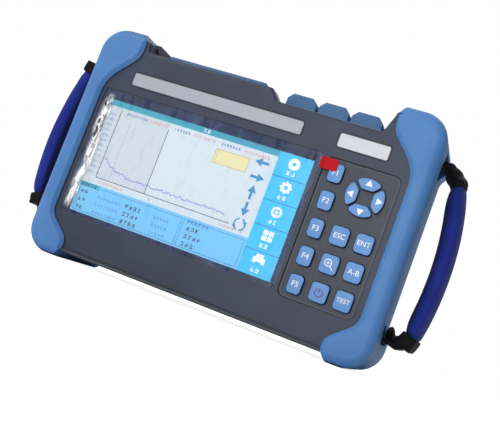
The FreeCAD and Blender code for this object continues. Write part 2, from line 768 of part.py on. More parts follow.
def make_interface_cover():
    bottom = cover_deck + deck_gap
    back = cover_front + cover_depth
    top = bottom + cover_thick
    lid = prism([(cover_left, bottom, 0), (cover_right, bottom, 0), (cover_right, top, 1.8),
                 (cover_left, top, 1.8)], cover_front, back)
    barrel = rod_x(cover_x - cover_knuckle / 2, cover_x + cover_knuckle / 2,
                   cover_axis_y, cover_axis_z, knuckle_radius)
    web = box(cover_x - cover_knuckle / 2, cover_x + cover_knuckle / 2, back - 0.5, cover_axis_y,
              cover_axis_z - knuckle_radius, cover_axis_z + knuckle_radius)
    cover = joined([lid, barrel, web])
    return cover.cut(rod_x(cover_left, cover_right, cover_axis_y, cover_axis_z,
                           hinge_pin_radius + running_fit))


# ---- hand straps ----
def strap_pin(z, grow):
    reach = slot_width / 2 + pocket_wall - 0.3
    return rod_y(strap_y - reach, strap_y + reach, core_half - strap_pin_inset, z,
                 strap_pin_radius + grow)


def ribbon(points, half_thick, width):
    """Band that follows (x, z, bend radius) points, centred on the strap's own plane."""
    left, right = [], []
    count = len(points)
    for i, (x, z, radius) in enumerate(points):
        here = Vector(x, 0, z)
        into = (here - Vector(points[i - 1][0], 0, points[i - 1][1])).normalize() if i else None
        out = (Vector(points[i + 1][0], 0, points[i + 1][1]) - here).normalize() if i < count - 1 else None
        into = into or out
        out = out or into
        side_in = Vector(-into.z, 0, into.x)
        side_out = Vector(-out.z, 0, out.x)
        mitre = (side_in + side_out).normalize()
        length = half_thick / mitre.dot(side_in)
        turn = into.x * out.z - into.z * out.x
        shift = half_thick if turn > 0 else -half_thick
        near = max(radius - shift, 0) if radius else 0
        away = radius + shift if radius else 0
        left.append((here.x + mitre.x * length, here.z + mitre.z * length, near))
        right.append((here.x - mitre.x * length, here.z - mitre.z * length, away))
    return prism(left + right[::-1], strap_y - width / 2, strap_y + width / 2)


def along(start, end, distance):
    """Point at a distance from start towards end."""
    run = math.hypot(end[0] - start[0], end[1] - start[1])
    share = distance / run
    return (start[0] + (end[0] - start[0]) * share, start[1] + (end[1] - start[1]) * share)


pin_x = core_half - strap_pin_inset
loop_radius = strap_pin_radius + webbing_thick / 2 + 0.2
sleeve_top = along(strap_bend_top, strap_belly, sleeve_top_gap)
sleeve_bottom = along(strap_bend_bottom, strap_belly, sleeve_bottom_gap)
sleeve_legs = [(strap_belly[0] - x, abs(strap_belly[1] - z)) for x, z in (sleeve_top, sleeve_bottom)]
sleeve_turn = sum(math.atan2(out, up) for out, up in sleeve_legs)
sleeve_bow = ((min(math.hypot(*leg) for leg in sleeve_legs) - sleeve_end_run)
              / math.tan(sleeve_turn / 2))
webbing_path = [
    (pin_x + loop_radius, strap_top_z, 0), strap_bend_top, (*strap_belly, sleeve_bow),
    strap_bend_bottom, (pin_x + loop_radius, strap_bottom_z, 0),
]


def webbing_loop(z):
    ring = rod_y(strap_y - webbing_width / 2, strap_y + webbing_width / 2, pin_x, z,
                 loop_radius + webbing_thick / 2)
    return ring.cut(rod_y(strap_y - webbing_width, strap_y + webbing_width, pin_x, z,
                          loop_radius - webbing_thick / 2))


def make_webbing():
    band = ribbon(webbing_path, webbing_thick / 2, webbing_width)
    band = joined([band, webbing_loop(strap_top_z), webbing_loop(strap_bottom_z)])
    for z in (strap_top_z, strap_bottom_z):
        band = band.cut(rod_y(strap_y - webbing_width, strap_y + webbing_width, pin_x, z,
                              loop_radius - webbing_thick / 2))
    return band


def make_sleeve():
    path = [(*sleeve_top, 0), (*strap_belly, sleeve_bow), (*sleeve_bottom, 0)]
    body = ribbon(path, sleeve_thick / 2, sleeve_width)
    edges = [edge for edge in body.Edges if edge.Length > 20 and edge.BoundBox.YLength < 1e-6]
    body = body.makeFillet(sleeve_round, edges)
    channel = ribbon(webbing_path, webbing_thick / 2 + sleeve_play,
                     webbing_width + 2 * sleeve_play)
    return body.cut(channel)


def make_cuff(end, towards):
    """Binding that closes one end of the sleeve round the webbing."""
    outer = along(end, towards, -cuff_length)
    body = ribbon([(*outer, 0), (*end, 0)], cuff_thick / 2, cuff_width)
    channel = ribbon(webbing_path, webbing_thick / 2 + sleeve_play,
                     webbing_width + 2 * sleeve_play)
    return body.cut(channel)


# ---- write every node ----
os.makedirs("parts", exist_ok=True)

right_bumper = make_bumper()
save("right_bumper", right_bumper)
save("left_bumper", mirrored(right_bumper))
save("front_bezel", make_bezel())
save("rear_shell", make_rear_shell())
save("housing_seal", seal_ring(0))

lens_fit = 0.1
save("window_lens", rounded(lens_left + lens_fit, lens_right - lens_fit, lens_bottom + lens_fit,
                            lens_top - lens_fit, lens_corner, lens_y, lens_back_y))
save("protective_film", rounded(lens_left + lens_fit, lens_right - lens_fit, lens_bottom + lens_fit,
                                lens_top - lens_fit, lens_corner, lens_y - film_thick, lens_y))

# Pull tab: starts on the film, steps forward and lies over a corner of the nearest key.
tab_low_y = lens_y - film_thick
tab_high_y = key_front_y - 0.2
tab_x = lens_right - 3.0
tab_points = [(tab_x, tab_low_y), (lens_right + 1, tab_low_y), (lens_right + 3.5, tab_high_y),
              (lens_right + tab_reach, tab_high_y)]
tab_front = [(x, y - 0.2) for x, y in reversed(tab_points)]
tab_loop = [Vector(x, y, tab_top - tab_width) for x, y in tab_points + tab_front]
save("film_pull_tab",
     Part.Face(Part.makePolygon(tab_loop + tab_loop[:1])).extrude(Vector(0, 0, tab_width)))

px0, px1, pz0, pz1 = panel_box
save("lcd_panel", box(px0, px1, panel_y, panel_back_y, pz0, pz1))
frame_right = min(panel_box[1], keypad_left - 2)
lcd_frame = box(px0 - frame_margin, frame_right, panel_back_y, frame_back_y,
                pz0 - frame_margin, pz1 + frame_margin)
lcd_frame = lcd_frame.cut(box(px0 + 12, px1 - 14, panel_back_y - 1, frame_back_y + 1,
                              pz0 + 12, pz1 - 12))
for x, z in frame_bosses:
    lcd_frame = lcd_frame.cut(rod_y(panel_back_y - 1, frame_back_y + 1, x, z,
                                    small_screw_radius + screw_slack))
save("lcd_frame", lcd_frame)

board_screw_solids = [screw(x, z, frame_back_y, inner_y + 1, small_screw_radius, small_head,
                            small_head_height) for x, z in frame_bosses]

keypad_mat = box(keypad_left, keypad_right, mat_y, keyboard_y, keypad_bottom, keypad_top)
dome_points = [solid.CenterOfMass for solid in key_solids(mat_y - 0.2, mat_y, 0).values()]
domes = [rod_y(mat_y - 0.2, mat_y, point.x, point.z, 2.5) for point in dome_points]
save("keypad_mat", joined([keypad_mat] + domes))
keypad_board = box(keypad_left - 1.0, keypad_right + 2, keyboard_y, keyboard_back_y,
                   keypad_bottom - 7, keypad_top + 7)
for x, z in keypad_bosses:
    keypad_board = keypad_board.cut(rod_y(keyboard_y - 1, keyboard_back_y + 1, x, z,
                                          small_screw_radius + screw_slack))
    board_screw_solids.append(screw(x, z, keyboard_back_y, inner_y + 1, small_screw_radius,
                                    small_head, small_head_height))
save("keypad_board", keypad_board)

caps = key_solids(key_front_y, flange_y, 0)
flanges = key_solids(flange_y, key_back_y, key_flange)
arrow_flanges = key_solids(flange_y, key_back_y, ring_split / 2 - 0.3)
for name, cap in caps.items():
    flange = arrow_flanges[name] if name in arrow_names else flanges[name]
    save(name, joined([cap, flange]))

for name, plate in (("name_plate", name_plate_box), ("badge_plate", badge_plate_box)):
    x0, x1, z0, z1 = plate
    save(name, rounded(x0, x1, z0, z1, plate_corner, face_y + plate_recess - plate_thick,
                       face_y + plate_recess))
x0, x1, z0, z1 = rear_label_box
save("rear_label", rounded(x0, x1, z0, z1, plate_corner, back_y - plate_recess,
                           back_y - plate_recess + plate_thick))

# Main board: carried on standoffs from the screen frame and the keypad board.
bx0, bx1, bz0, bz1 = mainboard_box
mainboard = joined([
    box(bx0, bx1, mainboard_y, mainboard_back_y, bz0, bz1),
    box(cover_left + wall, deck_step - wall - 2, mainboard_y, mainboard_back_y, bz1, port_board_top),
])
standoff_places = [(px0 + 10, pz0 + 4, frame_back_y), (px1 - 5, pz0 + 4, frame_back_y),
                   (px0 + 10, pz1 - 4, frame_back_y), (px1 - 5, pz1 - 4, frame_back_y),
                   (keypad_right - 10, keypad_bottom + 3, keyboard_back_y),
                   (keypad_right - 10, keypad_top - 3, keyboard_back_y)]
standoffs = []
for x, z, start_y in standoff_places:
    standoffs.append(rod_y(start_y, mainboard_y, x, z, standoff_radius)
                     .cut(rod_y(mainboard_y - 8, mainboard_y + 1, x, z,
                                small_screw_radius + screw_slack)))
    mainboard = mainboard.cut(rod_y(mainboard_y - 1, mainboard_back_y + 1, x, z,
                                    small_screw_radius + screw_slack))
    board_screw_solids.append(screw(x, z, mainboard_back_y, mainboard_y - 6, small_screw_radius,
                                    small_head, small_head_height))
save("mainboard", mainboard)
save("board_standoffs", *standoffs)
save("board_screws", *board_screw_solids)
sx0, sx1, sz0, sz1 = shield_box
save("shield_can", box(sx0, sx1, mainboard_back_y, mainboard_back_y + shield_height, sz0, sz1))

mx0, mx1, mz0, mz1 = module_box
save("optical_module", box(mx0, mx1, mainboard_back_y + small_head_height + 0.1,
                           mainboard_back_y + module_depth, mz0, mz1))
adapters = []
for x in port_x:
    half = adapter_flange / 2
    adapter = joined([
        rod_z(mz1, port_deck + adapter_height, x, port_y, adapter_radius),
        box(x - half, x + half, port_y - half, port_y + half, port_deck,
            port_deck + adapter_flange_thick)])
    adapters.append(adapter.cut(rod_z(mz1 + 1, port_deck + adapter_height + 1, x, port_y,
                                      ferrule_bore)))
save("optical_adapters", *adapters)


def jack(name):
    """Metal or plastic socket body standing at the board's top edge, closed at the bottom."""
    x0, x1, depth = jacks[name]
    return box(x0, x1, jack_y, jack_y + depth, jack_bottom, jack_top)


x0, x1, depth = jacks["ethernet"]
socket = box(x0 + ethernet_wall, x1 - ethernet_wall, jack_y + ethernet_wall_front,
             jack_y + depth - ethernet_wall_back, jack_top - ethernet_reach, jack_top + 1)
save("ethernet_jack", jack("ethernet").cut(socket))
usb_jacks = []
for name, tongue in tongue_thick.items():
    x0, x1, depth = jacks[name]
    shell = jack(name).cut(box(x0 + usb_rim, x1 - usb_rim, jack_y + usb_rim,
                               jack_y + depth - usb_rim, jack_top - usb_reach, jack_top + 1))
    middle = jack_y + depth / 2
    blade = box(x0 + tongue_inset, x1 - tongue_inset, middle - tongue / 2, middle + tongue / 2,
                jack_top - usb_reach - tongue_root, jack_top - tongue_below_mouth)
    usb_jacks.append(joined([shell, blade]))
save("usb_jacks", *usb_jacks)
x0, x1, depth = jacks["power"]
power_x, power_y = (x0 + x1) / 2, jack_y + depth / 2
dc_jack = jack("power").cut(rod_z(jack_top - power_reach, jack_top + 1, power_x, power_y, power_bore))
save("dc_jack", joined([dc_jack, rod_z(jack_top - power_reach - tongue_root,
                                       jack_top - tongue_below_mouth, power_x, power_y,
                                       power_pin)]))

save("speaker", rod_y(rear_inner_y - speaker_thick, rear_inner_y, speaker_x, speaker_z,
                      speaker_radius))

# Battery, its door and the door's captive screws.
save("battery_pack", box(bay_box[0] + battery_gap, bay_box[1] - battery_gap,
                         bay_front_y + battery_gap, door_y - battery_gap,
                         bay_box[2] + battery_gap, bay_box[3] - battery_gap))
door = rounded(door_box[0] + door_gap, door_box[1] - door_gap, door_box[2] + door_gap,
               door_box[3] - door_gap, door_corner, door_y, back_y)
door_screws = []
door_head_depth = 1.7
for z in door_screw_z:
    door = door.cut(rod_y(door_y - 1, back_y + 1, door_screw_x, z, screw_radius + 0.1))
    door = door.cut(rod_y(back_y - door_head_depth, back_y + 1, door_screw_x, z, screw_head + 0.2))
    door_screws.append(screw(door_screw_x, z, back_y - door_head_depth, back_y - pad_thick + 0.5,
                             screw_radius, screw_head, door_head_depth - 0.2))
save("battery_door", door)
save("battery_door_screws", *door_screws)

# Fold-out stand with its rubber tip and hinge pin.
stand = joined([
    box(-stand_half, stand_half, stand_y - stand_thick / 2, stand_y + stand_thick / 2,
        stand_bottom, stand_hinge_z),
    rod_x(-stand_half, stand_half, stand_y, stand_hinge_z, stand_thick / 2)])
save("kickstand", stand.cut(rod_x(-stand_half - 1, stand_half + 1, stand_y, stand_hinge_z,
                                  stand_pin_radius + running_fit)))
save("kickstand_tip", box(-tip_half, tip_half, stand_y - stand_thick / 2 + 0.2,
                          stand_y + stand_thick / 2 - 0.2, stand_bottom - tip_height, stand_bottom))
save("stand_hinge_pin", rod_x(-pin_end, pin_end, stand_y, stand_hinge_z, stand_pin_radius))

save("housing_screws", *[screw(x, z, housing_screw_seat, inner_y + 2, screw_radius, screw_head,
                               screw_head_height) for x, z in screw_places])

for index, x in enumerate(port_x):
    save("port_cap_%d" % (index + 1), make_cap(x))
save("interface_cover", make_interface_cover())
hinge_pins = []
for x, y, z, knuckle, _ in hinges:
    reach = knuckle / 2 + hinge_gap + ear_width
    hinge_pins.append(rod_x(x - reach, x + reach, y, z, hinge_pin_radius))
save("cover_hinge_pins", *hinge_pins)

webbing = make_webbing()
sleeve = make_sleeve()
cuffs = [make_cuff(sleeve_top, strap_belly), make_cuff(sleeve_bottom, strap_belly)]
pins = [strap_pin(z, 0) for z in (strap_top_z, strap_bottom_z)]
save("right_strap_webbing", webbing)
save("left_strap_webbing", mirrored(webbing))
save("right_strap_sleeve", sleeve)
save("left_strap_sleeve", mirrored(sleeve))
save("strap_cuffs", *cuffs, *[mirrored(cuff) for cuff in cuffs])
save("strap_pins", *pins, *[mirrored(pin) for pin in pins])
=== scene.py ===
import math
import random

import bmesh
import bpy
from mathutils import Matrix, Vector


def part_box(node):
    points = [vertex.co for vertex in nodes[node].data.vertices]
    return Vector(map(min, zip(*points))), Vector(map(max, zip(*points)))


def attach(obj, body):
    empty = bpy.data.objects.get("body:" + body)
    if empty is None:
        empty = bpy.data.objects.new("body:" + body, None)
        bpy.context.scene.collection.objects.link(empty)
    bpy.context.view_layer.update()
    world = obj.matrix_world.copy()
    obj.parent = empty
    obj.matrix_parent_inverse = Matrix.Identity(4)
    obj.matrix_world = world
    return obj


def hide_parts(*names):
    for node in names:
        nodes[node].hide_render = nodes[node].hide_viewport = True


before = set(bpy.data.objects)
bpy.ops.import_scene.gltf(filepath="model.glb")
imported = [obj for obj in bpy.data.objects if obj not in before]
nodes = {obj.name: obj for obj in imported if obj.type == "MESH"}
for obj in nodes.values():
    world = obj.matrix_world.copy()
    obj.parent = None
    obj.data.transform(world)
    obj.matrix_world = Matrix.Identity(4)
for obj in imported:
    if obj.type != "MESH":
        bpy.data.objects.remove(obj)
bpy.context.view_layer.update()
MM = 0.001


# The camera: a long lens held low and rolled, to the right of the screen's middle, so
# that the instrument leans in the frame and its right end is the nearer one.
studio = bpy.context.scene
camera_place = Vector((0.18656, -0.52274, 0.02166))
camera_right = Vector((0.8964, 0.2698, 0.3517))
camera_up = Vector((-0.3080, -0.1915, 0.9319))
camera_back = camera_right.cross(camera_up).normalized()
camera_up = camera_back.cross(camera_right).normalized()
camera_right.normalize()
camera_data = bpy.data.cameras.new("camera")
camera_data.lens = 57.6
camera_data.sensor_width = 36.0
camera_data.sensor_fit = "HORIZONTAL"
camera_data.shift_x = 0.0086
camera_data.shift_y = 0.0145
camera_data.clip_start = 0.01
camera = bpy.data.objects.new("camera", camera_data)
studio.collection.objects.link(camera)
camera.matrix_world = Matrix((
    (camera_right.x, camera_up.x, camera_back.x, camera_place.x),
    (camera_right.y, camera_up.y, camera_back.y, camera_place.y),
    (camera_right.z, camera_up.z, camera_back.z, camera_place.z),
    (0, 0, 0, 1)))
bpy.context.scene.camera = camera
bpy.context.scene.view_settings.view_transform = "Standard"


# The studio: a wide white table top in a white surround that is darker on the right, with
# four soft lamps. To the camera both read as plain white, with a faint contact shadow.
def worked_out(tree, operation, *values):
    """A maths node's result; each value is a number or a socket."""
    node = tree.nodes.new("ShaderNodeMath")
    node.operation = operation
    for slot, value in zip(node.inputs, values):
        if isinstance(value, (int, float)):
            slot.default_value = value
        else:
            tree.links.new(value, slot)
    return node.outputs[0]


def spread(tree, value, low, high, given_low=0.35, given_high=0.65):
    """value, from given_low to given_high, spread over low to high and clamped there."""
    node = tree.nodes.new("ShaderNodeMapRange")
    for end, limit in (("From Min", given_low), ("From Max", given_high),
                       ("To Min", low), ("To Max", high)):
        node.inputs[end].default_value = limit
    tree.links.new(value, node.inputs["Value"])
    return node.outputs["Result"]


def axes_of(tree, place):
    """A place's X, Y and Z sockets."""
    node = tree.nodes.new("ShaderNodeSeparateXYZ")
    tree.links.new(place, node.inputs[0])
    return node.outputs


def camera_like_ray(tree):
    """1 for camera and transmission rays; gloss mirrors the studio as it is."""
    paths = tree.nodes.new("ShaderNodeLightPath").outputs
    return worked_out(tree, "MAXIMUM", paths["Is Camera Ray"], paths["Is Transmission Ray"])


surround_left, surround_right = 0.84, 0.2
fade_from, fade_to = -0.5, 0.7
world = bpy.data.worlds.new("surround")
studio.world = world
world.use_nodes = True
surround = world.node_tree
surround.nodes.clear()
world_out = surround.nodes.new("ShaderNodeOutputWorld")
lighting = surround.nodes.new("ShaderNodeBackground")
lighting.inputs["Color"].default_value = (1, 1, 1, 1)
way = surround.nodes.new("ShaderNodeTexCoord").outputs["Generated"]
fade = spread(surround, axes_of(surround, way)["X"], surround_left, surround_right,
              fade_from, fade_to)
surround.links.new(fade, lighting.inputs["Strength"])
seen = surround.nodes.new("ShaderNodeBackground")
seen.inputs["Color"].default_value = (1, 1, 1, 1)
seen.inputs["Strength"].default_value = 1.0
chosen = surround.nodes.new("ShaderNodeMixShader")
surround.links.new(camera_like_ray(surround), chosen.inputs["Fac"])
surround.links.new(lighting.outputs[0], chosen.inputs[1])
surround.links.new(seen.outputs[0], chosen.inputs[2])
surround.links.new(chosen.outputs[0], world_out.inputs["Surface"])

bpy.ops.object.select_all(action="DESELECT")
table_radius, table_grey, table_glow = 2.5, 0.9, 0.86
bpy.ops.mesh.primitive_circle_add(vertices=96, radius=table_radius, fill_type="NGON",
                                  location=(0, 0, 0))
table_top = bpy.context.object
table_top.name = "table_top"
table_finish = bpy.data.materials.new("white_table")
table_finish.use_nodes = True
tree = table_finish.node_tree
tree.nodes.clear()
table_out = tree.nodes.new("ShaderNodeOutputMaterial")
matt = tree.nodes.new("ShaderNodeBsdfDiffuse")
matt.inputs["Color"].default_value = (table_grey, table_grey, table_grey, 1)
lift = tree.nodes.new("ShaderNodeEmission")
lift.inputs["Color"].default_value = (1, 1, 1, 1)
tree.links.new(worked_out(tree, "MULTIPLY", camera_like_ray(tree), table_glow),
               lift.inputs["Strength"])
both = tree.nodes.new("ShaderNodeAddShader")
tree.links.new(matt.outputs[0], both.inputs[0])
tree.links.new(lift.outputs[0], both.inputs[1])
tree.links.new(both.outputs[0], table_out.inputs["Surface"])
table_top.data.materials.append(table_finish)


def lamp(name, place, target, size, watts):
    """A square soft lamp at place, turned to face target."""
    data = bpy.data.lights.new(name, "AREA")
    data.shape = "SQUARE"
    data.size = size
    data.energy = watts
    light = bpy.data.objects.new(name, data)
    studio.collection.objects.link(light)
    light.location = place
    aim = Vector(target) - Vector(place)
    light.rotation_euler = aim.to_track_quat("-Z", "Y").to_euler()


body_middle = (0, 0, 0.084)
lamp("key_lamp", (-0.9, -1.1, 1.3), body_middle, 0.9, 8.5)
lamp("front_lamp", (-0.05, -1.5, 0.27), body_middle, 0.5, 4.7)
lamp("low_lamp", (0.1, -1.1, 0.24), (0.05, 0, 0.02), 0.3, 0.5)
lamp("rim_lamp", (0.1, 1.0, 1.4), body_middle, 0.8, 7)


# The housing: a front bezel and a rear shell, two mouldings in slate-grey ABS with a fine
# spark-eroded grain. They close on a rubber seal and are screwed together from behind.
def tone(red, green, blue):
    """A paint-chart colour, 0 to 255, as a shader takes it."""
    def linear(value):
        value /= 255
        return value / 12.92 if value <= 0.04045 else ((value + 0.055) / 1.055) ** 2.4
    return (linear(red), linear(green), linear(blue), 1)


def place_on(tree):
    """A point's place on the piece, as a socket."""
    return tree.nodes.new("ShaderNodeTexCoord").outputs["Object"]


def new_finish(name):
    """A material, its nodes, its shader and a point's place on the piece."""
    finish = bpy.data.materials.new(name)
    finish.use_nodes = True
    tree = finish.node_tree
    return finish, tree, tree.nodes["Principled BSDF"], place_on(tree)


def stretched(tree, place, scale):
    """The place with each axis drawn out or in, so a pattern on it runs one way."""
    node = tree.nodes.new("ShaderNodeMapping")
    node.inputs["Scale"].default_value = scale
    tree.links.new(place, node.inputs["Vector"])
    return node.outputs["Vector"]


def noise(tree, place, scale, detail=2.0):
    """Cloudy noise from 0 to 1, scale clouds to the metre."""
    node = tree.nodes.new("ShaderNodeTexNoise")
    node.inputs["Scale"].default_value = scale
    node.inputs["Detail"].default_value = detail
    tree.links.new(place, node.inputs["Vector"])
    return node.outputs["Fac"]


def mixed(tree, share, first, second):
    """The first colour where share is 0 and the second where it is 1."""
    node = tree.nodes.new("ShaderNodeMix")
    node.data_type = "RGBA"
    tree.links.new(share, node.inputs[0])
    for socket, colour in ((node.inputs[6], first), (node.inputs[7], second)):
        if isinstance(colour, tuple):
            socket.default_value = colour
        else:
            tree.links.new(colour, socket)
    return node.outputs[2]


def relief(tree, height, depth, skin, under=None):
    """Presses height into the shader's surface, depth metres deep."""
    node = tree.nodes.new("ShaderNodeBump")
    node.inputs["Distance"].default_value = depth
    tree.links.new(height, node.inputs["Height"])
    if under is not None:
        tree.links.new(under, node.inputs["Normal"])
    tree.links.new(node.outputs["Normal"], skin.inputs["Normal"])


def moulded_finish(name, colour, shade, rough, worn_and_lit_edge, grain=0.02, corner=0.5,
                   specular=0.35):
    """Moulded plastic or rubber: two close tones, a fine grain and edges lighter, as rubbed
    wear and painted highlight.
    """
    edge_lighten_most, edge_turn, flat_turn = 0.75, 0.78, 0.97
    finish, tree, skin, place = new_finish(name)
    skin.inputs["Specular IOR Level"].default_value = specular
    rounded = tree.nodes.new("ShaderNodeBevel")
    rounded.samples = 4
    rounded.inputs["Radius"].default_value = corner * MM
    facing = tree.nodes.new("ShaderNodeNewGeometry").outputs["Normal"]
    turn = tree.nodes.new("ShaderNodeVectorMath")
    turn.operation = "DOT_PRODUCT"
    tree.links.new(rounded.outputs["Normal"], turn.inputs[0])
    tree.links.new(facing, turn.inputs[1])
    edge = spread(tree, turn.outputs["Value"], edge_lighten_most, 0, edge_turn, flat_turn)
    cloud = spread(tree, noise(tree, place, 32, 4), 0, 1)
    body_colour = mixed(tree, cloud, shade, colour)
    # Edges are mixed towards the lighter colour: rubbed wear, and a painted highlight along
    # them.
    tree.links.new(mixed(tree, edge, body_colour, worn_and_lit_edge), skin.inputs["Base Color"])
    speckle = noise(tree, place, 1500, 2)
    tree.links.new(spread(tree, speckle, rough - 0.06, rough + 0.06),
                   skin.inputs["Roughness"])
    relief(tree, speckle, grain * MM, skin, rounded.outputs["Normal"])
    return finish


def dress(finish, *names):
    """Gives these CAD nodes this finish."""
    for name in names:
        for holder in nodes[name].material_slots:
            holder.link = "OBJECT"
            holder.material = finish


slate = moulded_finish("slate_plastic", tone(53, 62, 79), tone(47, 55, 71), 0.46,
                       tone(112, 120, 132))
dress(slate, "rear_shell")


def past_edge(tree, place, low, high, corner):
    """How far a point lies outside the rounded rectangle low to high, from the front."""
    axes = axes_of(tree, place)
    squares = []
    for axis in (0, 2):
        off = worked_out(tree, "SUBTRACT", axes[axis], (low[axis] + high[axis]) / 2)
        past = worked_out(tree, "SUBTRACT", worked_out(tree, "ABSOLUTE", off),
                          (high[axis] - low[axis]) / 2 - corner)
        outside = worked_out(tree, "MAXIMUM", past, 0.0)
        squares.append(worked_out(tree, "POWER", outside, 2.0))
    reach = worked_out(tree, "SQRT", worked_out(tree, "ADD", *squares))
    return worked_out(tree, "SUBTRACT", reach, corner)


def line_at(tree, distance, level, wide):
    """1 where distance is within wide of level, falling to 0."""
    off = worked_out(tree, "ABSOLUTE", worked_out(tree, "SUBTRACT", distance, level))
    return spread(tree, off, 1, 0, wide * 0.4, wide)


def tinted(finish, share, colour):
    """Turns the finish to this colour where share is 1."""
    tree = finish.node_tree
    skin = tree.nodes["Principled BSDF"]
    before = skin.inputs["Base Color"].links[0].from_socket
    tree.links.new(mixed(tree, share, before, colour), skin.inputs["Base Color"])


bezel_slate = moulded_finish("bezel_plastic", tone(47, 57, 77), tone(41, 50, 69), 0.46,
                             tone(112, 120, 132), specular=0.4)
tree = bezel_slate.node_tree
place = place_on(tree)
keypad_corner, plate_corner = 5 * MM, 1.5 * MM
past_keypad = past_edge(tree, place, *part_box("keypad_mat"), keypad_corner)
tinted(bezel_slate, spread(tree, past_keypad, 1, 0, -1 * MM, 0), tone(53, 58, 70))
# A painted shadow line along the keypad recess's edge, and a painted highlight line just
# inside it.
tinted(bezel_slate, line_at(tree, past_keypad, 0.0, 0.5 * MM), tone(28, 32, 40))
tinted(bezel_slate, line_at(tree, past_keypad, -1.0 * MM, 0.4 * MM), tone(78, 84, 96))
# A painted shade line on the bezel round each plate, where the gap beside it lies in
# shadow.
for plate in ("name_plate", "badge_plate"):
    past_plate = past_edge(tree, place, *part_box(plate), plate_corner)
    tinted(bezel_slate, line_at(tree, past_plate, 0.4 * MM, 0.8 * MM), tone(20, 23, 30))
# Along the bottom edge: a painted highlight strip where the rounded edge catches light, and
# a painted shade line above it.
lit_strip_high = 2.4 * MM
above_lit_strip = worked_out(tree, "SUBTRACT", axes_of(tree, place)["Z"],
                        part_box("front_bezel")[0][2] + lit_strip_high)
tinted(bezel_slate, spread(tree, above_lit_strip, 1, 0, -0.4 * MM, 0), tone(80, 86, 94))
tinted(bezel_slate, line_at(tree, above_lit_strip, 0.6 * MM, 1.0 * MM), tone(24, 30, 40))
dress(bezel_slate, "front_bezel")
seal_rubber = moulded_finish("seal_rubber", tone(24, 25, 28), tone(18, 19, 22), 0.7,
                             tone(40, 40, 44))
dress(seal_rubber, "housing_seal")


# Inside the housing: the circuit boards on brass standoffs, the steel can, the optical
# module, the loudspeaker and the battery pack, all fixed before the shell is closed.
def darker(colour, share):
    """The colour at this share of its brightness."""
    return tuple(value * share for value in colour[:3]) + (1,)


def metal_finish(name, colour, rough, streak=(1, 1, 40)):
    """Bare metal with the fine streaks that rolling, turning or brushing leaves."""
    finish, tree, skin, place = new_finish(name)
    skin.inputs["Metallic"].default_value = 1.0
    lines = noise(tree, stretched(tree, place, streak), 180, 3)
    tree.links.new(mixed(tree, spread(tree, lines, 0, 1), darker(colour, 0.8), colour),
                   skin.inputs["Base Color"])
    tree.links.new(spread(tree, lines, rough - 0.06, rough + 0.08),
                   skin.inputs["Roughness"])
    relief(tree, lines, 0.01 * MM, skin)
    return finish


def board_finish(name):
    """Green solder mask over copper tracks."""
    finish, tree, skin, place = new_finish(name)
    tracks = tree.nodes.new("ShaderNodeTexBrick")
    tracks.inputs["Color1"].default_value = tone(18, 92, 58)
    tracks.inputs["Color2"].default_value = tone(14, 78, 50)
    tracks.inputs["Mortar"].default_value = tone(70, 140, 84)
    tracks.inputs["Scale"].default_value = 90
    tracks.inputs["Mortar Size"].default_value = 0.03
    turned = tree.nodes.new("ShaderNodeMapping")
    turned.inputs["Rotation"].default_value = (math.pi / 2, 0, 0)
    tree.links.new(place, turned.inputs["Vector"])
    tree.links.new(turned.outputs["Vector"], tracks.inputs["Vector"])
    tree.links.new(tracks.outputs["Color"], skin.inputs["Base Color"])
    skin.inputs["Roughness"].default_value = 0.35
    relief(tree, tracks.outputs["Fac"], 0.03 * MM, skin)
    return finish


circuit_board = board_finish("circuit_board")
sheet_steel = metal_finish("sheet_steel", tone(176, 178, 182), 0.34)
brass = metal_finish("turned_brass", tone(196, 160, 92), 0.3)
nickel = metal_finish("nickel_plate", tone(200, 202, 206), 0.22)
screw_steel = metal_finish("blackened_steel", tone(96, 98, 104), 0.34, (20, 1, 20))
dark_plastic = moulded_finish("dark_plastic", tone(30, 31, 34), tone(24, 25, 28), 0.5,
                              tone(64, 66, 70))
battery_wrap = moulded_finish("battery_wrap", tone(46, 74, 122), tone(40, 66, 112), 0.38,
                              tone(90, 120, 170))
dress(circuit_board, "mainboard", "keypad_board")
dress(sheet_steel, "shield_can", "lcd_frame")
dress(brass, "board_standoffs")
dress(screw_steel, "board_screws", "housing_screws", "battery_door_screws")
dress(nickel, "stand_hinge_pin", "cover_hinge_pins", "strap_pins")
dress(dark_plastic, "optical_module", "speaker", "dc_jack")
dress(battery_wrap, "battery_pack")


# Bumpers: one soft blue rubber boot over each end of the housing, moulded in one piece
# with rounded lips and stretched over the corners.
def picked(*pieces):
    """Selects these pieces alone; the last is the active one."""
    bpy.ops.object.select_all(action="DESELECT")
    for piece in pieces:
        piece.select_set(True)
    bpy.context.view_layer.objects.active = pieces[-1]


def opened():
    """Goes into edit mode with the whole mesh selected."""
    bpy.ops.object.mode_set(mode="EDIT")
    bpy.ops.mesh.select_all(action="SELECT")


def merged_copy(node, name):
    """A CAD node's shape as a new piece of clean faces, selected."""
    piece = bpy.data.objects.new(name, nodes[node].data.copy())
    studio.collection.objects.link(piece)
    picked(piece)
    piece.data.materials.clear()
    bpy.ops.mesh.customdata_custom_splitnormals_clear()
    opened()
    bpy.ops.mesh.remove_doubles(threshold=0.002 * MM)
    bpy.ops.mesh.dissolve_limited(angle_limit=math.radians(0.4))
    bpy.ops.object.mode_set(mode="OBJECT")
    return piece


def worked(piece, kind, **settings):
    """Puts a modifier on the piece and applies it."""
    bpy.context.view_layer.objects.active = piece
    modifier = piece.modifiers.new(kind.lower(), kind)
    for setting, value in settings.items():
        setattr(modifier, setting, value)
    bpy.ops.object.modifier_apply(modifier=modifier.name)


def eased(piece, width, degrees):
    """Rounds every edge that turns by more than degrees."""
    worked(piece, "BEVEL", width=width, segments=3, limit_method="ANGLE",
           angle_limit=math.radians(degrees))


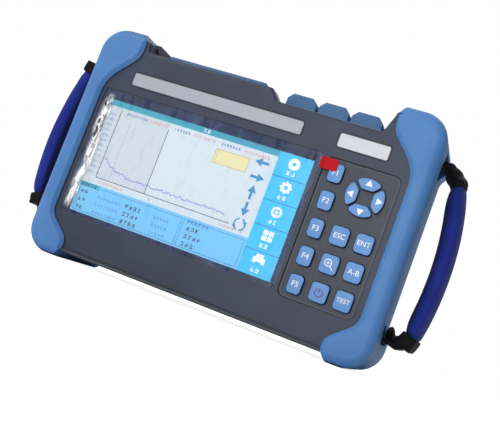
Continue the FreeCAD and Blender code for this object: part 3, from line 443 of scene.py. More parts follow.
def smooth(piece, degrees):
    """Shades the piece smooth, except over edges that turn by more than degrees."""
    picked(piece)
    bpy.ops.object.shade_smooth_by_angle(angle=math.radians(degrees))


def place_piece(piece, body, slot, finish, *replaced):
    """The piece takes its finish, rides on its body and stands for the CAD nodes."""
    if finish is not None:
        piece.data.materials.clear()
        piece.data.materials.append(finish)
    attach(piece, body)
    if replaced:
        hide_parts(*replaced)


bumper_rubber = moulded_finish("bumper_rubber", tone(80, 130, 189), tone(73, 122, 181), 0.5,
                               tone(110, 150, 202), 0.03, 0.8, 0.32)
tree = bumper_rubber.node_tree
axes = axes_of(tree, place_on(tree))
lip_slope, lip_foot_across, lip_foot_back = 2.6 * MM, 113.5 * MM, -33.7 * MM
# Painted shade at the foot of the inner lip, where it meets the bezel.
inner_side = spread(tree, worked_out(tree, "ABSOLUTE", axes["X"]), 1, 0,
                    lip_foot_across - 0.1 * MM, lip_foot_across + 0.1 * MM)
lip_foot = line_at(tree, axes["Y"], lip_foot_back, 0.7 * MM)
tinted(bumper_rubber, worked_out(tree, "MULTIPLY", inner_side, lip_foot), tone(24, 42, 80))
for side in ("left", "right"):
    boot = merged_copy(side + "_bumper", side + "_rubber_boot")
    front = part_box(side + "_bumper")[0][1] + 0.02 * MM
    walls = {key for face in boot.data.polygons if abs(face.normal.y) < 0.3
             for key in face.edge_keys}
    bpy.ops.object.mode_set(mode="EDIT")
    bpy.ops.mesh.select_mode(type="EDGE")
    bpy.ops.mesh.select_all(action="DESELECT")
    bpy.ops.object.mode_set(mode="OBJECT")
    for edge in boot.data.edges:
        level = all(boot.data.vertices[spot].co.y < front for spot in edge.vertices)
        edge.select = level and edge.key in walls
    bpy.ops.object.mode_set(mode="EDIT")
    bpy.ops.mesh.bevel(offset=lip_slope, segments=1, affect="EDGES", loop_slide=False)
    bpy.ops.mesh.select_mode(type="VERT")
    bpy.ops.object.mode_set(mode="OBJECT")
    eased(boot, 0.7 * MM, 24)
    smooth(boot, 24)
    place_piece(boot, "housing", "bumper", bumper_rubber, side + "_bumper")


# The display: a backlit colour panel behind the window. Its picture is a set of flat
# printed fields, each a hair in front of the last: a chart, a row of soft keys and a panel
# of readings, with plain marks where an instrument would show words.
dress(dark_plastic, "lcd_panel")
view_left, view_right, view_low, view_high = -103.0, 51.0, 34.2, 117.2
picture_gap, field_step = 0.03, 0.0045
panel_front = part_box("lcd_panel")[0][1] / MM
screen_inks = {
    "page": (216, 231, 236), "dim_page": (207, 220, 227), "bar": (44, 170, 192),
    "panel": (118, 204, 247), "panel_line": (60, 124, 176), "soft_key": (36, 200, 246),
    "divider": (36, 120, 186), "axis": (62, 70, 80), "cursor": (60, 72, 84),
    "pale_cursor": (186, 186, 196), "trace": (132, 128, 210), "note": (236, 230, 176),
    "note_line": (184, 172, 104), "arrow": (44, 144, 196), "mark": (18, 52, 88),
    "blue_mark": (50, 116, 180), "soft_mark": (86, 150, 206), "pink_mark": (222, 158, 160),
    "white": (246, 250, 252),
}


def glowing_ink(name, colour):
    """A colour of the picture: mostly its own light, with the fine grid of the cells."""
    finish, tree, skin, place = new_finish("screen_" + name)
    cells = tree.nodes.new("ShaderNodeTexChecker")
    cells.inputs["Scale"].default_value = 4200
    cells.inputs["Color1"].default_value = colour
    cells.inputs["Color2"].default_value = darker(colour, 0.9)
    tree.links.new(place, cells.inputs["Vector"])
    for socket in ("Base Color", "Emission Color"):
        tree.links.new(cells.outputs["Color"], skin.inputs[socket])
    skin.inputs["Emission Strength"].default_value = 0.33
    skin.inputs["Roughness"].default_value = 0.5
    return finish


bpy.ops.object.select_all(action="DESELECT")
bpy.ops.mesh.primitive_plane_add(size=1, location=(0, 0, 0))
picture = bpy.context.object
picture.name = "screen_picture"
for ink, chart_colour in screen_inks.items():
    picture.data.materials.append(glowing_ink(ink, tone(*chart_colour)))
ink_order = list(screen_inks)
opened()
bpy.ops.mesh.delete(type="VERT")
fields = 0


def next_field():
    """How far back the next field lies, in metres."""
    global fields
    fields += 1
    return (panel_front - picture_gap - field_step * fields) * MM


def inked(ink):
    """Gives the selected faces this ink."""
    picture.active_material_index = ink_order.index(ink)
    bpy.ops.object.material_slot_assign()


def field(ink, left, right, low, high, back=None):
    """A rectangle of one colour, in millimetres, in front of all others or at back."""
    centre = ((left + right) / 2 * MM, back or next_field(), (low + high) / 2 * MM)
    bpy.ops.mesh.primitive_plane_add(size=1, location=centre, rotation=(math.pi / 2, 0, 0))
    bpy.ops.transform.resize(value=((right - left) * MM, 1, (high - low) * MM),
                             center_override=centre)
    inked(ink)


def disc(ink, across, up, radius, sides=20, turn=0.0):
    """A round or many-sided spot; three sides make an arrowhead."""
    centre = (across * MM, next_field(), up * MM)
    bpy.ops.mesh.primitive_circle_add(vertices=sides, radius=radius * MM, fill_type="NGON",
                                      location=centre, rotation=(math.pi / 2, turn, 0))
    inked(ink)


def marks(ink, left, low, count, seed, size=1.7):
    """A row of small made-up signs that stand where words would be."""
    sign_pitch, stroke_levels, stroke, stem_wide = 1.25, (0.04, 0.43, 0.82), 0.18, 0.2
    choice = random.Random(seed)
    back = next_field()
    for number in range(count):
        start = left + number * size * sign_pitch
        for level in stroke_levels:
            if choice.random() < 0.8:
                field(ink, start + size * 0.05, start + size * choice.uniform(0.7, 1.0),
                      low + size * level, low + size * (level + stroke), back)
        stem = start + size * choice.uniform(0.15, 0.7)
        field(ink, stem, stem + size * stem_wide, low + size * stroke_levels[0],
              low + size, back)


def frame_line(ink, left, right, low, high, line=0.35):
    """A thin rectangular outline."""
    back = next_field()
    for sides in ((left, right, low, low + line), (left, right, high - line, high),
                  (left, left + line, low, high), (right - line, right, low, high)):
        field(ink, *sides, back)


column_left = 27.0
bar_low, panel_high = 113.0, 56.0
axis_left, axis_right, axis_low, axis_high = -93.0, 11.0, 61.0, 111.0
field("page", view_left, column_left, panel_high, view_high)
field("dim_page", view_left, -54, axis_low, bar_low)
field("bar", view_left, column_left, bar_low, view_high)
marks("white", -29.5, 114.0, 2, 11, 2.4)
marks("soft_mark", -16.0, 114.3, 17, 12)
field("axis", axis_left - 0.25, axis_left + 0.25, axis_low, axis_high)
field("axis", axis_left, axis_right, axis_low - 0.25, axis_low + 0.25)
field("cursor", -54.25, -53.75, axis_low, 108)
field("pale_cursor", -83.3, -82.9, axis_low, 106)
for row in range(12):
    up = axis_low + 2.4 + row * 3.9
    marks("soft_mark", -100.8, up, 3, row, 1.3)
    field("axis", axis_left - 1.0, axis_left, up + 0.5, up + 0.8)
for start, ink, count, seed in ((-88, "blue_mark", 8, 21), (-69, "pink_mark", 7, 22),
                                (-50, "blue_mark", 6, 23), (-35, "pink_mark", 8, 24),
                                (-14, "blue_mark", 7, 25), (3, "pink_mark", 9, 26)):
    marks(ink, start, 109.0, count, seed)
for start, ink, count, seed in ((-98, "pink_mark", 1, 31), (-90, "pink_mark", 10, 32),
                                (-50, "blue_mark", 1, 34), (4, "pink_mark", 9, 33)):
    marks(ink, start, 57.6, count, seed, 1.6)
field("note", -16, 9, 96, 106)
frame_line("note_line", -16, 9, 96, 106)
field("note_line", -14.2, -13.9, 96, 106)
across = 18.0
for up, turn in ((106, -math.pi / 2), (95.5, math.pi / 2), (85, 0), (73.5, math.pi)):
    disc("arrow", across + 1.8 * math.sin(turn), up + 1.8 * math.cos(turn), 3.4, 3, turn)
    stem = Vector((math.sin(turn), math.cos(turn))) * -2.2
    half_wide, half_high = (2.6, 0.9) if abs(stem.x) > 1 else (0.9, 2.6)
    field("arrow", across + stem.x - half_wide, across + stem.x + half_wide,
          up + stem.y - half_high, up + stem.y + half_high)
disc("arrow", across, 62.6, 4.4)
disc("page", across, 62.6, 3.4)
field("page", across - 1, across + 1, 57.6, 67.8)
disc("arrow", 21.4, 64.0, 1.7, 3, math.pi)
disc("arrow", 14.6, 61.2, 1.7, 3, 0)
field("panel", view_left, column_left, view_low, panel_high)
frame_line("panel_line", -101.6, -21.0, 35.4, 54.2)
frame_line("panel_line", -19.6, 25.4, 35.4, 54.2)
field("bar", -102.4, -87.0, 52.6, 55.6)
marks("mark", -101.6, 53.0, 5, 41, 2.1)
marks("blue_mark", -17.0, 52.2, 6, 42, 2.2)
for row, up in enumerate((47.4, 42.0, 36.6)):
    for start, ink, count, size in ((-100, "mark", 2, 2.6), (-86, "soft_mark", 8, 1.9),
                                    (-64, "mark", 4, 2.7), (-41, "soft_mark", 5, 2.0),
                                    (-16, "mark", 3 + row % 2, 2.7)):
        marks(ink, start, up, count, 50 + row * 5 + count, size)
field("soft_key", column_left, view_right, view_low, view_high)
for up in (100.7, 84.0, 67.0, 50.5):
    field("divider", column_left, view_right, up - 0.25, up + 0.25)
icon = 39.0
for number, up in enumerate((111.0, 94.5, 77.5, 61.0, 44.5)):
    marks("white", icon - 3.4, up - 8.0, 2, 80 + number, 2.7)
disc("white", icon, 111, 4.0)
disc("soft_key", icon, 111, 1.3)
for turn in range(8):
    angle = turn * math.pi / 4
    disc("white", icon + 3.2 * math.cos(angle), 94.8 + 3.2 * math.sin(angle), 1.1, 6)
disc("white", icon, 94.8, 3.2)
disc("soft_key", icon, 94.8, 1.4)
disc("white", icon, 77.8, 3.9, 8)
field("soft_key", icon - 2.0, icon + 2.0, 76.2, 79.6)
disc("white", icon, 77.8, 1.1)
for across in (-2.0, 2.0):
    for up in (59.4, 63.2):
        field("white", icon + across - 1.7, icon + across + 1.7, up - 1.6, up + 1.6)
field("white", icon - 4.2, icon + 4.2, 42.6, 46.6)
field("white", icon - 2.6, icon + 2.6, 45.6, 48.8)
field("soft_key", icon - 2.0, icon + 2.0, 42.0, 43.6)
bpy.ops.object.mode_set(mode="OBJECT")

# The measured trace: a thin ribbon that falls from the launch and then runs on as noise.
bpy.ops.object.select_all(action="DESELECT")
trace_left, trace_right, trace_floor = -91.5, 6.0, 66.3
trace_steps, trace_half, launch_high, launch_long, noise_high = 96, 0.3, 10.0, 9.0, 0.95
bpy.ops.mesh.primitive_grid_add(x_subdivisions=trace_steps, y_subdivisions=1, size=1,
                                location=(0, 0, 0))
trace = bpy.context.object
trace.name = "screen_trace"
jitter = random.Random(11)
levels = [jitter.uniform(-1, 1) for _ in range(trace_steps + 1)]
trace_back = next_field()
for vertex in trace.data.vertices:
    step = round((vertex.co.x + 0.5) * trace_steps)
    across = trace_left + (trace_right - trace_left) * step / trace_steps
    fall = launch_high * math.exp(-(across - trace_left) / launch_long)
    up = trace_floor + fall + noise_high * levels[step]
    up += trace_half if vertex.co.y > 0 else -trace_half
    vertex.co = (across * MM, trace_back, up * MM)
trace.data.materials.append(picture.data.materials[ink_order.index("trace")])
picked(trace, picture)
bpy.ops.object.join()
place_piece(picture, "housing", "lcd", None)


# The window: a clear acrylic pane let into the bezel, with a dark border printed on its
# back, and over it the thin protective film that the instrument is delivered with. The
# film has come loose and crinkled along its left edge, and a red tab peels it off.
def painted(tree, name):
    """The values kept on the piece's points under this name."""
    node = tree.nodes.new("ShaderNodeAttribute")
    node.attribute_name = name
    return node.outputs["Fac"]


def clear_finish(name, tint, haze, gloss_colour, rough, mirror, loose=False):
    """Clear plastic, a little hazy, that mirrors more at a slant; where loose, painted
    glare and fold shade.
    """
    finish, tree, skin, place = new_finish(name)
    through = tree.nodes.new("ShaderNodeBsdfTransparent")
    through.inputs["Color"].default_value = tint
    slant = tree.nodes.new("ShaderNodeFresnel")
    slant.inputs["IOR"].default_value = 1.45
    clouds = spread(tree, noise(tree, place, 22, 3), haze * 0.5, haze * 1.5)
    total = worked_out(tree, "MULTIPLY_ADD", slant.outputs["Fac"], mirror, clouds)
    skin.inputs["Base Color"].default_value = gloss_colour
    skin.inputs["Roughness"].default_value = rough
    skin.inputs["Metallic"].default_value = 1.0
    # Where the film is loose it turns matt, opaque white with dark fold lines: a painted
    # glare and painted shade standing for its crinkled reflections.
    if loose:
        lifted = painted(tree, "lifted")
        creases = noise(tree, stretched(tree, place, (1.0, 1.0, 0.35)), 520, 3)
        white_glare = spread(tree, creases, 0.45, 1.4, 0.4, 0.5)
        total = worked_out(tree, "MULTIPLY_ADD", white_glare, lifted, total)
        relief(tree, worked_out(tree, "MULTIPLY", creases, lifted), 0.9 * MM,
               skin)
        fold_shade = noise(tree, stretched(tree, place, (1.0, 1.0, 0.3)), 340, 2)
        tree.links.new(mixed(tree, spread(tree, fold_shade, 0, 1, 0.36, 0.42),
                             tone(50, 52, 60), gloss_colour), skin.inputs["Base Color"])
        tree.links.new(spread(tree, lifted, 1, 0, 0, 0.3),
                       skin.inputs["Metallic"])
    mix = tree.nodes.new("ShaderNodeMixShader")
    tree.links.new(total, mix.inputs["Fac"])
    tree.links.new(through.outputs[0], mix.inputs[1])
    tree.links.new(skin.outputs[0], mix.inputs[2])
    tree.links.new(mix.outputs[0], tree.nodes["Material Output"].inputs["Surface"])
    return finish


acrylic = clear_finish("clear_acrylic", (1, 1, 1, 1), 0.0, tone(235, 235, 240), 0.06, 0.5)
dress(acrylic, "window_lens")
lens_near, lens_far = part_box("window_lens")
border_ink = moulded_finish("window_border_ink", tone(52, 72, 108), tone(38, 54, 90), 0.5,
                            tone(44, 54, 84), 0.0, specular=0.1)
tree = border_ink.node_tree
# Cloudy lighter patches on the border: a painted reflection of glare on the film over it.
glare_patches = noise(tree, stretched(tree, place_on(tree), (1.0, 1.0, 0.4)), 70, 3)
tinted(border_ink, spread(tree, glare_patches, 0, 0.55, 0.54, 0.72), tone(116, 142, 188))
bpy.ops.object.select_all(action="DESELECT")
border_back = lens_far[1] - 0.04 * MM
bpy.ops.mesh.primitive_plane_add(size=1, location=(0, border_back, 0),
                                 rotation=(math.pi / 2, 0, 0))
border = bpy.context.object
border.name = "window_border"
opened()
bpy.ops.mesh.inset(thickness=0.25)
bpy.ops.mesh.delete(type="FACE")
bpy.ops.object.mode_set(mode="OBJECT")
bpy.ops.object.transform_apply()
outer = (lens_near[0], lens_far[0], lens_near[2], lens_far[2])
inner = (view_left * MM, view_right * MM, view_low * MM, view_high * MM)
for vertex in border.data.vertices:
    left, right, low, high = outer if abs(vertex.co.x) > 0.4 else inner
    vertex.co.x = right if vertex.co.x > 0 else left
    vertex.co.z = high if vertex.co.z > 0 else low
place_piece(border, "housing", "lens", border_ink)

film_near, film_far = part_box("protective_film")
film_across, film_up = 150, 110
bpy.ops.object.select_all(action="DESELECT")
bpy.ops.mesh.primitive_grid_add(x_subdivisions=film_across, y_subdivisions=film_up, size=1,
                                location=(0, 0, 0), rotation=(math.pi / 2, 0, 0))
film = bpy.context.object
film.name = "crinkled_film"
bpy.ops.object.transform_apply()
wrinkled = film.vertex_groups.new(name="wrinkled")
crumple = bpy.data.textures.new("film_crumple", "CLOUDS")
crumple.noise_scale = 0.006
crumple.noise_depth = 2
loose_middle, loose_half, loose_low, loose_high, loose_end = -104.2, 2.3, 34, 121, 8
lifts = []
for vertex in film.data.vertices:
    share = vertex.co.x + 0.5
    along = film_near[0] + (film_far[0] - film_near[0]) * share ** 1.6
    up = film_near[2] + (film_far[2] - film_near[2]) * (vertex.co.z + 0.5)
    vertex.co = (along, film_near[1] + 0.05 * MM, up)
    wander = 0.9 * math.sin(up / MM * 0.11) + 0.5 * math.sin(up / MM * 0.31)
    off = (along / MM - loose_middle - wander) / loose_half
    from_low = min(1, max(0, (up / MM - loose_low) / loose_end))
    from_high = min(1, max(0, (loose_high - up / MM) / loose_end))
    lift = math.exp(-off * off) * from_low * from_high
    lifts.append(lift)
    wrinkled.add([vertex.index], lift if lift > 0.01 else 0.0, "REPLACE")
worked(film, "DISPLACE", texture=crumple, texture_coords="LOCAL", direction="Y",
       vertex_group="wrinkled", strength=-3.0 * MM, mid_level=0.28)
film.data.attributes.new("lifted", "FLOAT", "POINT")
film.data.attributes["lifted"].data.foreach_set("value", lifts)
smooth(film, 30)
film_finish = clear_finish("protective_film", (0.97, 0.96, 0.985, 1), 0.02,
                           tone(252, 252, 252), 0.16, 0.4, True)
place_piece(film, "housing", "film", film_finish, "protective_film")
red_tab = moulded_finish("red_tab", tone(196, 18, 24), tone(176, 12, 20), 0.5,
                         tone(214, 44, 48), 0.0, specular=0.1)
tab_near, tab_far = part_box("film_pull_tab")
tab_margin, tab_thick, tab_corner = 0.6 * MM, 0.16 * MM, 1.9 * MM
bpy.ops.object.select_all(action="DESELECT")
bpy.ops.mesh.primitive_plane_add(size=1, location=(0, 0, 0), rotation=(math.pi / 2, 0, 0))
tab = bpy.context.object
tab.name = "red_pull_tab"
bpy.ops.object.transform_apply()
tab.scale = (tab_far[0] - film_far[0] - tab_margin, 1,
             tab_far[2] - tab_near[2] - tab_margin)
tab.location = ((tab_far[0] + film_far[0]) / 2, tab_near[1] + 0.1 * MM,
                (tab_far[2] + tab_near[2]) / 2)
bpy.ops.object.transform_apply()
worked(tab, "BEVEL", affect="VERTICES", width=tab_corner, segments=5)
worked(tab, "SOLIDIFY", thickness=tab_thick, offset=0)
place_piece(tab, "housing", "film", red_tab, "film_pull_tab")


# The plates: two pale silver plates let into the bezel above the window and the keys, and a
# label on the back. All three are left bare.
def plate_finish(name, colour, line, node):
    """Satin silver, with a line of painted shade along the plate's turned-down edge."""
    rim, line_wide = 0.05 * MM, 0.45 * MM
    finish, tree, skin, place = new_finish(name)
    past = past_edge(tree, place, *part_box(node), plate_corner)
    brush = noise(tree, stretched(tree, place, (0.04, 1, 1)), 2400, 3)
    tree.links.new(mixed(tree, spread(tree, brush, 0, 1), darker(colour, 0.88), colour),
                   skin.inputs["Base Color"])
    # Painted shade in a thin line along the plate's edge.
    tinted(finish, line_at(tree, past, -rim, line_wide), line)
    skin.inputs["Metallic"].default_value = 0.2
    tree.links.new(spread(tree, brush, 0.42, 0.52), skin.inputs["Roughness"])
    relief(tree, brush, 0.01 * MM, skin)
    return finish


for node, colour in (("name_plate", tone(167, 173, 182)),
                     ("badge_plate", tone(202, 204, 212)),
                     ("rear_label", tone(198, 200, 204))):
    dress(plate_finish(node + "_silver", colour, tone(112, 118, 130), node), node)


# The keypad: one silicone mat with fifteen keys that come up through the bezel, light blue
# on their tops with painted shade down their sides, and white printed legends. Each key is
# pressed on its own.
dress(dark_plastic, "keypad_mat")
key_top = moulded_finish("key_top", tone(99, 150, 208), tone(94, 144, 202), 0.4,
                         tone(140, 180, 226), 0.012)
key_side_shade = moulded_finish("key_side_shade", tone(38, 54, 98), tone(32, 46, 88), 0.5,
                          tone(60, 82, 140), 0.0, 0.3)


def print_finish(name, colour):
    """Screen-printed ink, a little uneven."""
    finish, tree, skin, place = new_finish(name)
    cover = noise(tree, place, 900, 3)
    tree.links.new(mixed(tree, spread(tree, cover, 0, 1), darker(colour, 0.9), colour),
                   skin.inputs["Base Color"])
    tree.links.new(spread(tree, cover, 0.42, 0.52), skin.inputs["Roughness"])
    return finish


white_print = print_finish("white_print", tone(244, 246, 252))
power_print = print_finish("power_print", tone(104, 58, 140))
legend_lift = 0.03 * MM


def flat_ring(across, back, up, radius, line):
    """A flat ring that faces the front, left in edit mode."""
    centre = (across, back, up)
    bpy.ops.mesh.primitive_circle_add(vertices=40, radius=radius, location=centre,
                                      rotation=(math.pi / 2, 0, 0))
    opened()
    bpy.ops.mesh.extrude_region_move()
    shrink = (radius - line) / radius
    bpy.ops.transform.resize(value=(shrink, shrink, shrink), center_override=centre)
    bpy.ops.mesh.select_all(action="SELECT")


def flat_bar(across, back, up, wide, high):
    """A flat bar that faces the front, added to the mesh in edit mode."""
    bpy.ops.mesh.primitive_plane_add(size=1, location=(across, back, up),
                                     rotation=(math.pi / 2, 0, 0))
    bpy.ops.transform.resize(value=(wide, 1, high), center_override=(across, back, up),
                             orient_type="GLOBAL")


def lettering(text, across, back, up, high):
    """Flat printed letters, with capitals of this height."""
    bpy.ops.object.text_add(location=(0, 0, 0))
    letters = bpy.context.object
    letters.data.body = text
    letters.data.align_x = "CENTER"
    letters.data.align_y = "CENTER"
    letters.data.size = high * 1.35
    letters.data.offset = high * 0.006
    letters.data.resolution_u = 4
    bpy.ops.object.convert(target="MESH")
    letters = bpy.context.object
    letters.rotation_euler = (math.pi / 2, 0, 0)
    letters.location = (across, back, up)
    bpy.ops.object.transform_apply()
    return letters


def power_sign(across, back, up):
    """An open ring with a bar in its gap."""
    flat_ring(across, back, up - 0.2 * MM, 2.9 * MM, 0.7 * MM)
    ring = bpy.context.object
    shape = bmesh.from_edit_mesh(ring.data)
    for face in shape.faces:
        spot = ring.matrix_world @ face.calc_center_median()
        face.select = spot.z > up and abs(spot.x - across) < 1.3 * MM
    bmesh.update_edit_mesh(ring.data)
    bpy.ops.mesh.delete(type="FACE")
    flat_bar(across, back, up + 1.5 * MM, 0.75 * MM, 3.2 * MM)
    bpy.ops.object.mode_set(mode="OBJECT")
    return ring


def lens_sign(across, back, up):
    """A magnifying glass with a cross in it."""
    glass = (across - 0.8 * MM, back, up + 0.8 * MM)
    flat_ring(*glass, 2.5 * MM, 0.55 * MM)
    flat_bar(glass[0], back, glass[2], 2.6 * MM, 0.5 * MM)
    flat_bar(glass[0], back, glass[2], 0.5 * MM, 2.6 * MM)
    hub = (across + 2.1 * MM, back, up - 2.1 * MM)
    flat_bar(*hub, 3.2 * MM, 0.6 * MM)
    bpy.ops.transform.rotate(value=-math.pi / 4, orient_axis="Y", center_override=hub)
    bpy.ops.object.mode_set(mode="OBJECT")
    return bpy.context.object


def arrow_sign(across, back, up, turn):
    """A solid arrowhead with its corners eased."""
    bpy.ops.mesh.primitive_circle_add(vertices=3, radius=2.7 * MM, fill_type="NGON",
                                      location=(across, back, up),
                                      rotation=(math.pi / 2, turn, 0))
    opened()
    bpy.ops.mesh.bevel(offset=0.3 * MM, segments=2, affect="VERTICES")
    bpy.ops.object.mode_set(mode="OBJECT")
    return bpy.context.object


key_words = {"f1": "F1", "f2": "F2", "f3": "F3", "f4": "F4", "f5": "F5", "esc": "ESC",
             "enter": "ENT", "ab": "A-B", "test": "TEST"}
letter_high = {2: 3.7 * MM, 3: 3.5 * MM, 4: 3.0 * MM}
arrow_turns = {"up": 0, "right": math.pi / 2, "down": math.pi, "left": -math.pi / 2}
arrow_shift, top_facing = 0.3 * MM, -0.4
for key in list(key_words) + list(arrow_turns) + ["zoom", "power"]:
    node = "key_" + key
    low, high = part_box(node)
    across, up = (low[0] + high[0]) / 2, (low[2] + high[2]) / 2
    back = low[1] - legend_lift
    if key in arrow_turns:
        turn = arrow_turns[key]
        across += arrow_shift * math.sin(turn)
        up += arrow_shift * math.cos(turn)
    cap = merged_copy(node, node + "_cap")
    eased(cap, 0.55 * MM, 50)
    cap.data.materials.append(key_top)
    cap.data.materials.append(key_side_shade)
    # Faces that don't face the front take the darker material, as painted shade on the
    # keys' sides.
    for face in cap.data.polygons:
        face.material_index = 0 if face.normal.y < top_facing else 1
    smooth(cap, 35)
    bpy.ops.object.select_all(action="DESELECT")
    if key in arrow_turns:
        sign = arrow_sign(across, back, up, turn)
    elif key == "zoom":
        sign = lens_sign(across, back, up)
    elif key == "power":
        sign = power_sign(across, back, up)
    else:
        word = key_words[key]
        sign = lettering(word, across, back, up, letter_high[len(word)])
    sign.data.materials.clear()
    sign.data.materials.append(power_print if key == "power" else white_print)
    picked(sign, cap)
    bpy.ops.object.join()
    place_piece(cap, node, "key", None, node)


# The ports: nickel-plated optical adapters and data sockets on the top faces, each under a
# moulded cover that swings on a knuckle at its back edge.
dress(nickel, "optical_adapters", "ethernet_jack", "usb_jacks")
cover_rubber = moulded_finish("cover_rubber", tone(70, 112, 160), tone(64, 105, 152), 0.5,
                              tone(112, 148, 194), 0.02, 0.8)
for node in ("port_cap_1", "port_cap_2", "port_cap_3", "interface_cover"):
    cover = merged_copy(node, node + "_moulding")
    eased(cover, 0.45 * MM, 28)
    smooth(cover, 35)
    place_piece(cover, node, "cover_rubber", cover_rubber, node)


# The back: a battery door with two screws and a wire-thin gap all round, and a fold-out
# stand with a rubber tip, both moulded in the housing's plastic.
back_plastic = moulded_finish("back_plastic", tone(70, 75, 84), tone(62, 66, 76), 0.5,
                              tone(108, 112, 118), 0.03)
dress(back_plastic, "battery_door", "kickstand")
dress(seal_rubber, "kickstand_tip")


# The hand straps: black webbing looped round a steel pin inside each end, run through a
# padded royal-blue sleeve, and bunched and stitched where it leaves the sleeve.
def woven_finish(name, colour, shade, rough, pitch, sheen):
    """Woven cloth: fine ribs up the strap, crossed by the other thread."""
    finish, tree, skin, place = new_finish(name)
    ribs = []
    for axis, share in (("Z", 1.0), ("Y", 0.62)):
        wave = tree.nodes.new("ShaderNodeTexWave")
        wave.bands_direction = axis
        wave.inputs["Scale"].default_value = share / pitch / math.pi
        wave.inputs["Distortion"].default_value = 0.6
        wave.inputs["Detail"].default_value = 1.0
        tree.links.new(place, wave.inputs["Vector"])
        ribs.append(wave.outputs["Fac"])
    crossing = worked_out(tree, "MULTIPLY", *ribs)
    worn = worked_out(tree, "ADD", spread(tree, noise(tree, place, 60, 4), 0, 0.6),
                      spread(tree, crossing, 0, 0.4, 0.1, 0.9))
    tree.links.new(mixed(tree, worn, shade, colour), skin.inputs["Base Color"])
    skin.inputs["Roughness"].default_value = rough
    skin.inputs["Sheen Weight"].default_value = sheen
    skin.inputs["Specular IOR Level"].default_value = 0.2
    relief(tree, crossing, 0.12 * MM, skin)
    return finish


webbing_weave = woven_finish("black_webbing", tone(15, 15, 17), tone(6, 6, 8), 0.8,
                             1.1 * MM, 0.02)
sleeve_cloth = woven_finish("royal_blue_cloth", tone(31, 48, 144), tone(24, 38, 122), 0.8,
                            0.8 * MM, 0.06)
dress(webbing_weave, "left_strap_webbing", "right_strap_webbing")

sleeve_near, sleeve_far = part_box("right_strap_sleeve")
sleeve_node = nodes["right_strap_sleeve"]
sleeve_mid = (sleeve_near[1] + sleeve_far[1]) / 2
sleeve_thick, sleeve_end, far_right = 12 * MM, 4 * MM, 0.3
foam_half_wide, left_high_slack = 17.0 * MM, 1.2 * MM
# The sleeves' inner halves, towards the housing, are painted darker as shade.
tinted(sleeve_cloth, painted(sleeve_cloth.node_tree, "inner_shade"), tone(20, 27, 84))


def sleeve_centre(up):
    """Where the sleeve's middle lies across the instrument at this height."""
    level = min(max(up, sleeve_near[2] + sleeve_end), sleeve_far[2] - sleeve_end)
    outside = sleeve_node.ray_cast((far_right, sleeve_mid, level), (-1, 0, 0))[1].x
    return outside - sleeve_thick / 2


def padded_sleeve(side, low, high, slack, thick, inner_round):
    """A foam pad bent along the strap and blown up inside its cloth; side is 1 or -1.

    slack is how far it hangs outside the strap's line, thick half its thickness, and
    inner_round how rounded its inner face is, from 0 for square to 1.
    """
    drawn_in, drawn_long, outer_round, lean_reach = 0.22, 0.15, 0.5, 5 * MM
    cloth_moments, cloth_most = 20, 1.0 * MM
    inner_shade_from, inner_shade_fade = -0.62 * thick, 0.5 * MM
    bpy.ops.object.select_all(action="DESELECT")
    bpy.ops.mesh.primitive_cube_add(size=2, location=(0, 0, 0))
    pad = bpy.context.object
    opened()
    bpy.ops.mesh.subdivide(number_cuts=15)
    bpy.ops.object.mode_set(mode="OBJECT")
    for vertex in pad.data.vertices:
        out, wide, along = vertex.co.x * side, vertex.co.y, vertex.co.z
        crown = inner_round if out < 0 else outer_round
        end = max(0, (abs(along) - (1 - drawn_long)) / drawn_long)
        pulled = 1 - drawn_in * end ** 2
        across = out * math.sqrt(1 - crown * wide * wide) * thick * pulled
        deep = wide * math.sqrt(1 - crown * out * out) * foam_half_wide * pulled
        up = (low + high) / 2 + along * (high - low) / 2
        middle = sleeve_centre(up) + slack
        if side < 0:
            middle += left_high_slack * (up - low) / (high - low)
        lean = sleeve_centre(up + lean_reach) - sleeve_centre(up - lean_reach)
        lean /= 2 * lean_reach
        vertex.co = (side * (middle + across), sleeve_mid + deep, up - across * lean)
    worked(pad, "REMESH", mode="VOXEL", voxel_size=3.0 * MM)
    start = [vertex.co.copy() for vertex in pad.data.vertices]
    cloth = pad.modifiers.new("cloth", "CLOTH")
    cloth.settings.quality = 6
    cloth.settings.use_pressure = True
    cloth.settings.uniform_pressure_force = 4.0
    cloth.settings.effector_weights.gravity = 0
    for moment in range(1, cloth_moments + 1):
        studio.frame_set(moment)
    swollen = pad.evaluated_get(bpy.context.evaluated_depsgraph_get())
    ends = [vertex.co.copy() for vertex in swollen.data.vertices]
    pad.modifiers.clear()
    studio.frame_set(1)
    for vertex, before, after in zip(pad.data.vertices, start, ends):
        move = after - before
        if move.length > cloth_most:
            move *= cloth_most / move.length
        vertex.co = before + move
    worked(pad, "SMOOTH", factor=0.5, iterations=2)
    worked(pad, "SUBSURF", levels=1, render_levels=1)
    # Marks the inner half, towards the housing, for painted shade.
    shares = []
    for vertex in pad.data.vertices:
        off = vertex.co.x * side - sleeve_centre(vertex.co.z) - slack
        shares.append(min(1, max(0, (inner_shade_from - off) / inner_shade_fade)))
    pad.data.attributes.new("inner_shade", "FLOAT", "POINT")
    pad.data.attributes["inner_shade"].data.foreach_set("value", shares)
    smooth(pad, 180)
    return pad


bpy.context.view_layer.update()
right_pad = padded_sleeve(1, 30.6 * MM, 135.4 * MM, 0.2 * MM, 5.7 * MM, 0.45)
left_pad = padded_sleeve(-1, 35.6 * MM, 138.4 * MM, 3.8 * MM, 6.4 * MM, 0.15)
for pad, name in ((right_pad, "right"), (left_pad, "left")):
    pad.name = name + "_padded_sleeve"
    place_piece(pad, "housing", "sleeve", sleeve_cloth, name + "_strap_sleeve")

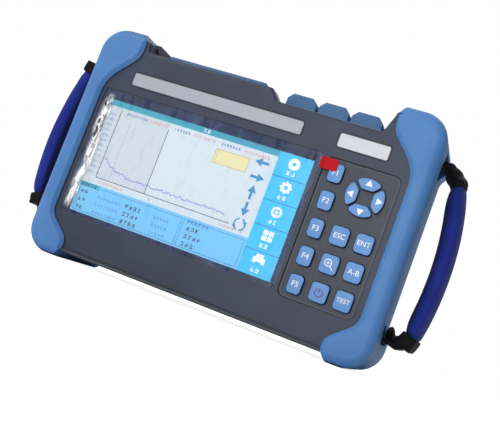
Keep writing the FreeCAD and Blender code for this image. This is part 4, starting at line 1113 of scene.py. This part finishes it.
# The bunched ends: round folds, and square ones where the turn isn't 0, sewn into one.
bpy.ops.object.select_all(action="DESELECT")
bpy.ops.mesh.primitive_uv_sphere_add(segments=24, ring_count=12, radius=4 * MM)
gathers = bpy.context.object
gathers.name = "strap_gathers"
bpy.ops.object.mode_set(mode="EDIT")
bpy.ops.transform.translate(value=(135 * MM, sleeve_mid, 139 * MM))
for across, up, wide, deep, high, turn in (
        (130.4, 144.8, 4.8, 13.0, 3.6, 0), (134.2, 140.8, 5.8, 15.2, 5.6, 0),
        (138.6, 135.8, 5.8, 16.2, 6.0, 0), (128.8, 30.6, 2.6, 12.0, 4.6, 0),
        (134.2, 26.6, 4.2, 14.0, 4.4, 0), (140.8, 29.2, 5.8, 15.4, 4.6, -20),
        (-132.5, 143.6, 5.2, 13.0, 4.0, 0), (-141.6, 138.8, 6.0, 15.0, 4.4, -10),
        (-133.5, 27.5, 5.2, 13.0, 4.4, 0), (-139.8, 28.0, 4.8, 14.4, 4.4, 0),
        (-144.8, 33.4, 4.8, 15.2, 4.2, 12)):
    centre = (across * MM, sleeve_mid, up * MM)
    bpy.ops.mesh.select_all(action="DESELECT")
    if turn:
        bpy.ops.mesh.primitive_cube_add(size=2 * MM, location=centre)
    else:
        bpy.ops.mesh.primitive_uv_sphere_add(segments=24, ring_count=12, radius=1 * MM,
                                             location=centre)
    bpy.ops.transform.resize(value=(wide, deep, high), center_override=centre)
    bpy.ops.transform.rotate(value=math.radians(turn), orient_axis="Y",
                             center_override=centre)
bpy.ops.object.mode_set(mode="OBJECT")
worked(gathers, "REMESH", mode="VOXEL", voxel_size=0.9 * MM)
worked(gathers, "SMOOTH", factor=0.5, iterations=5)
pleats = bpy.data.textures.new("pleats", "CLOUDS")
pleats.noise_scale = 0.008
pleats.noise_depth = 1
worked(gathers, "DISPLACE", texture=pleats, texture_coords="LOCAL", strength=1.5 * MM,
       mid_level=0.5)
worked(gathers, "SMOOTH", factor=0.5, iterations=2)
smooth(gathers, 60)
place_piece(gathers, "housing", "cuff", webbing_weave, "strap_cuffs")
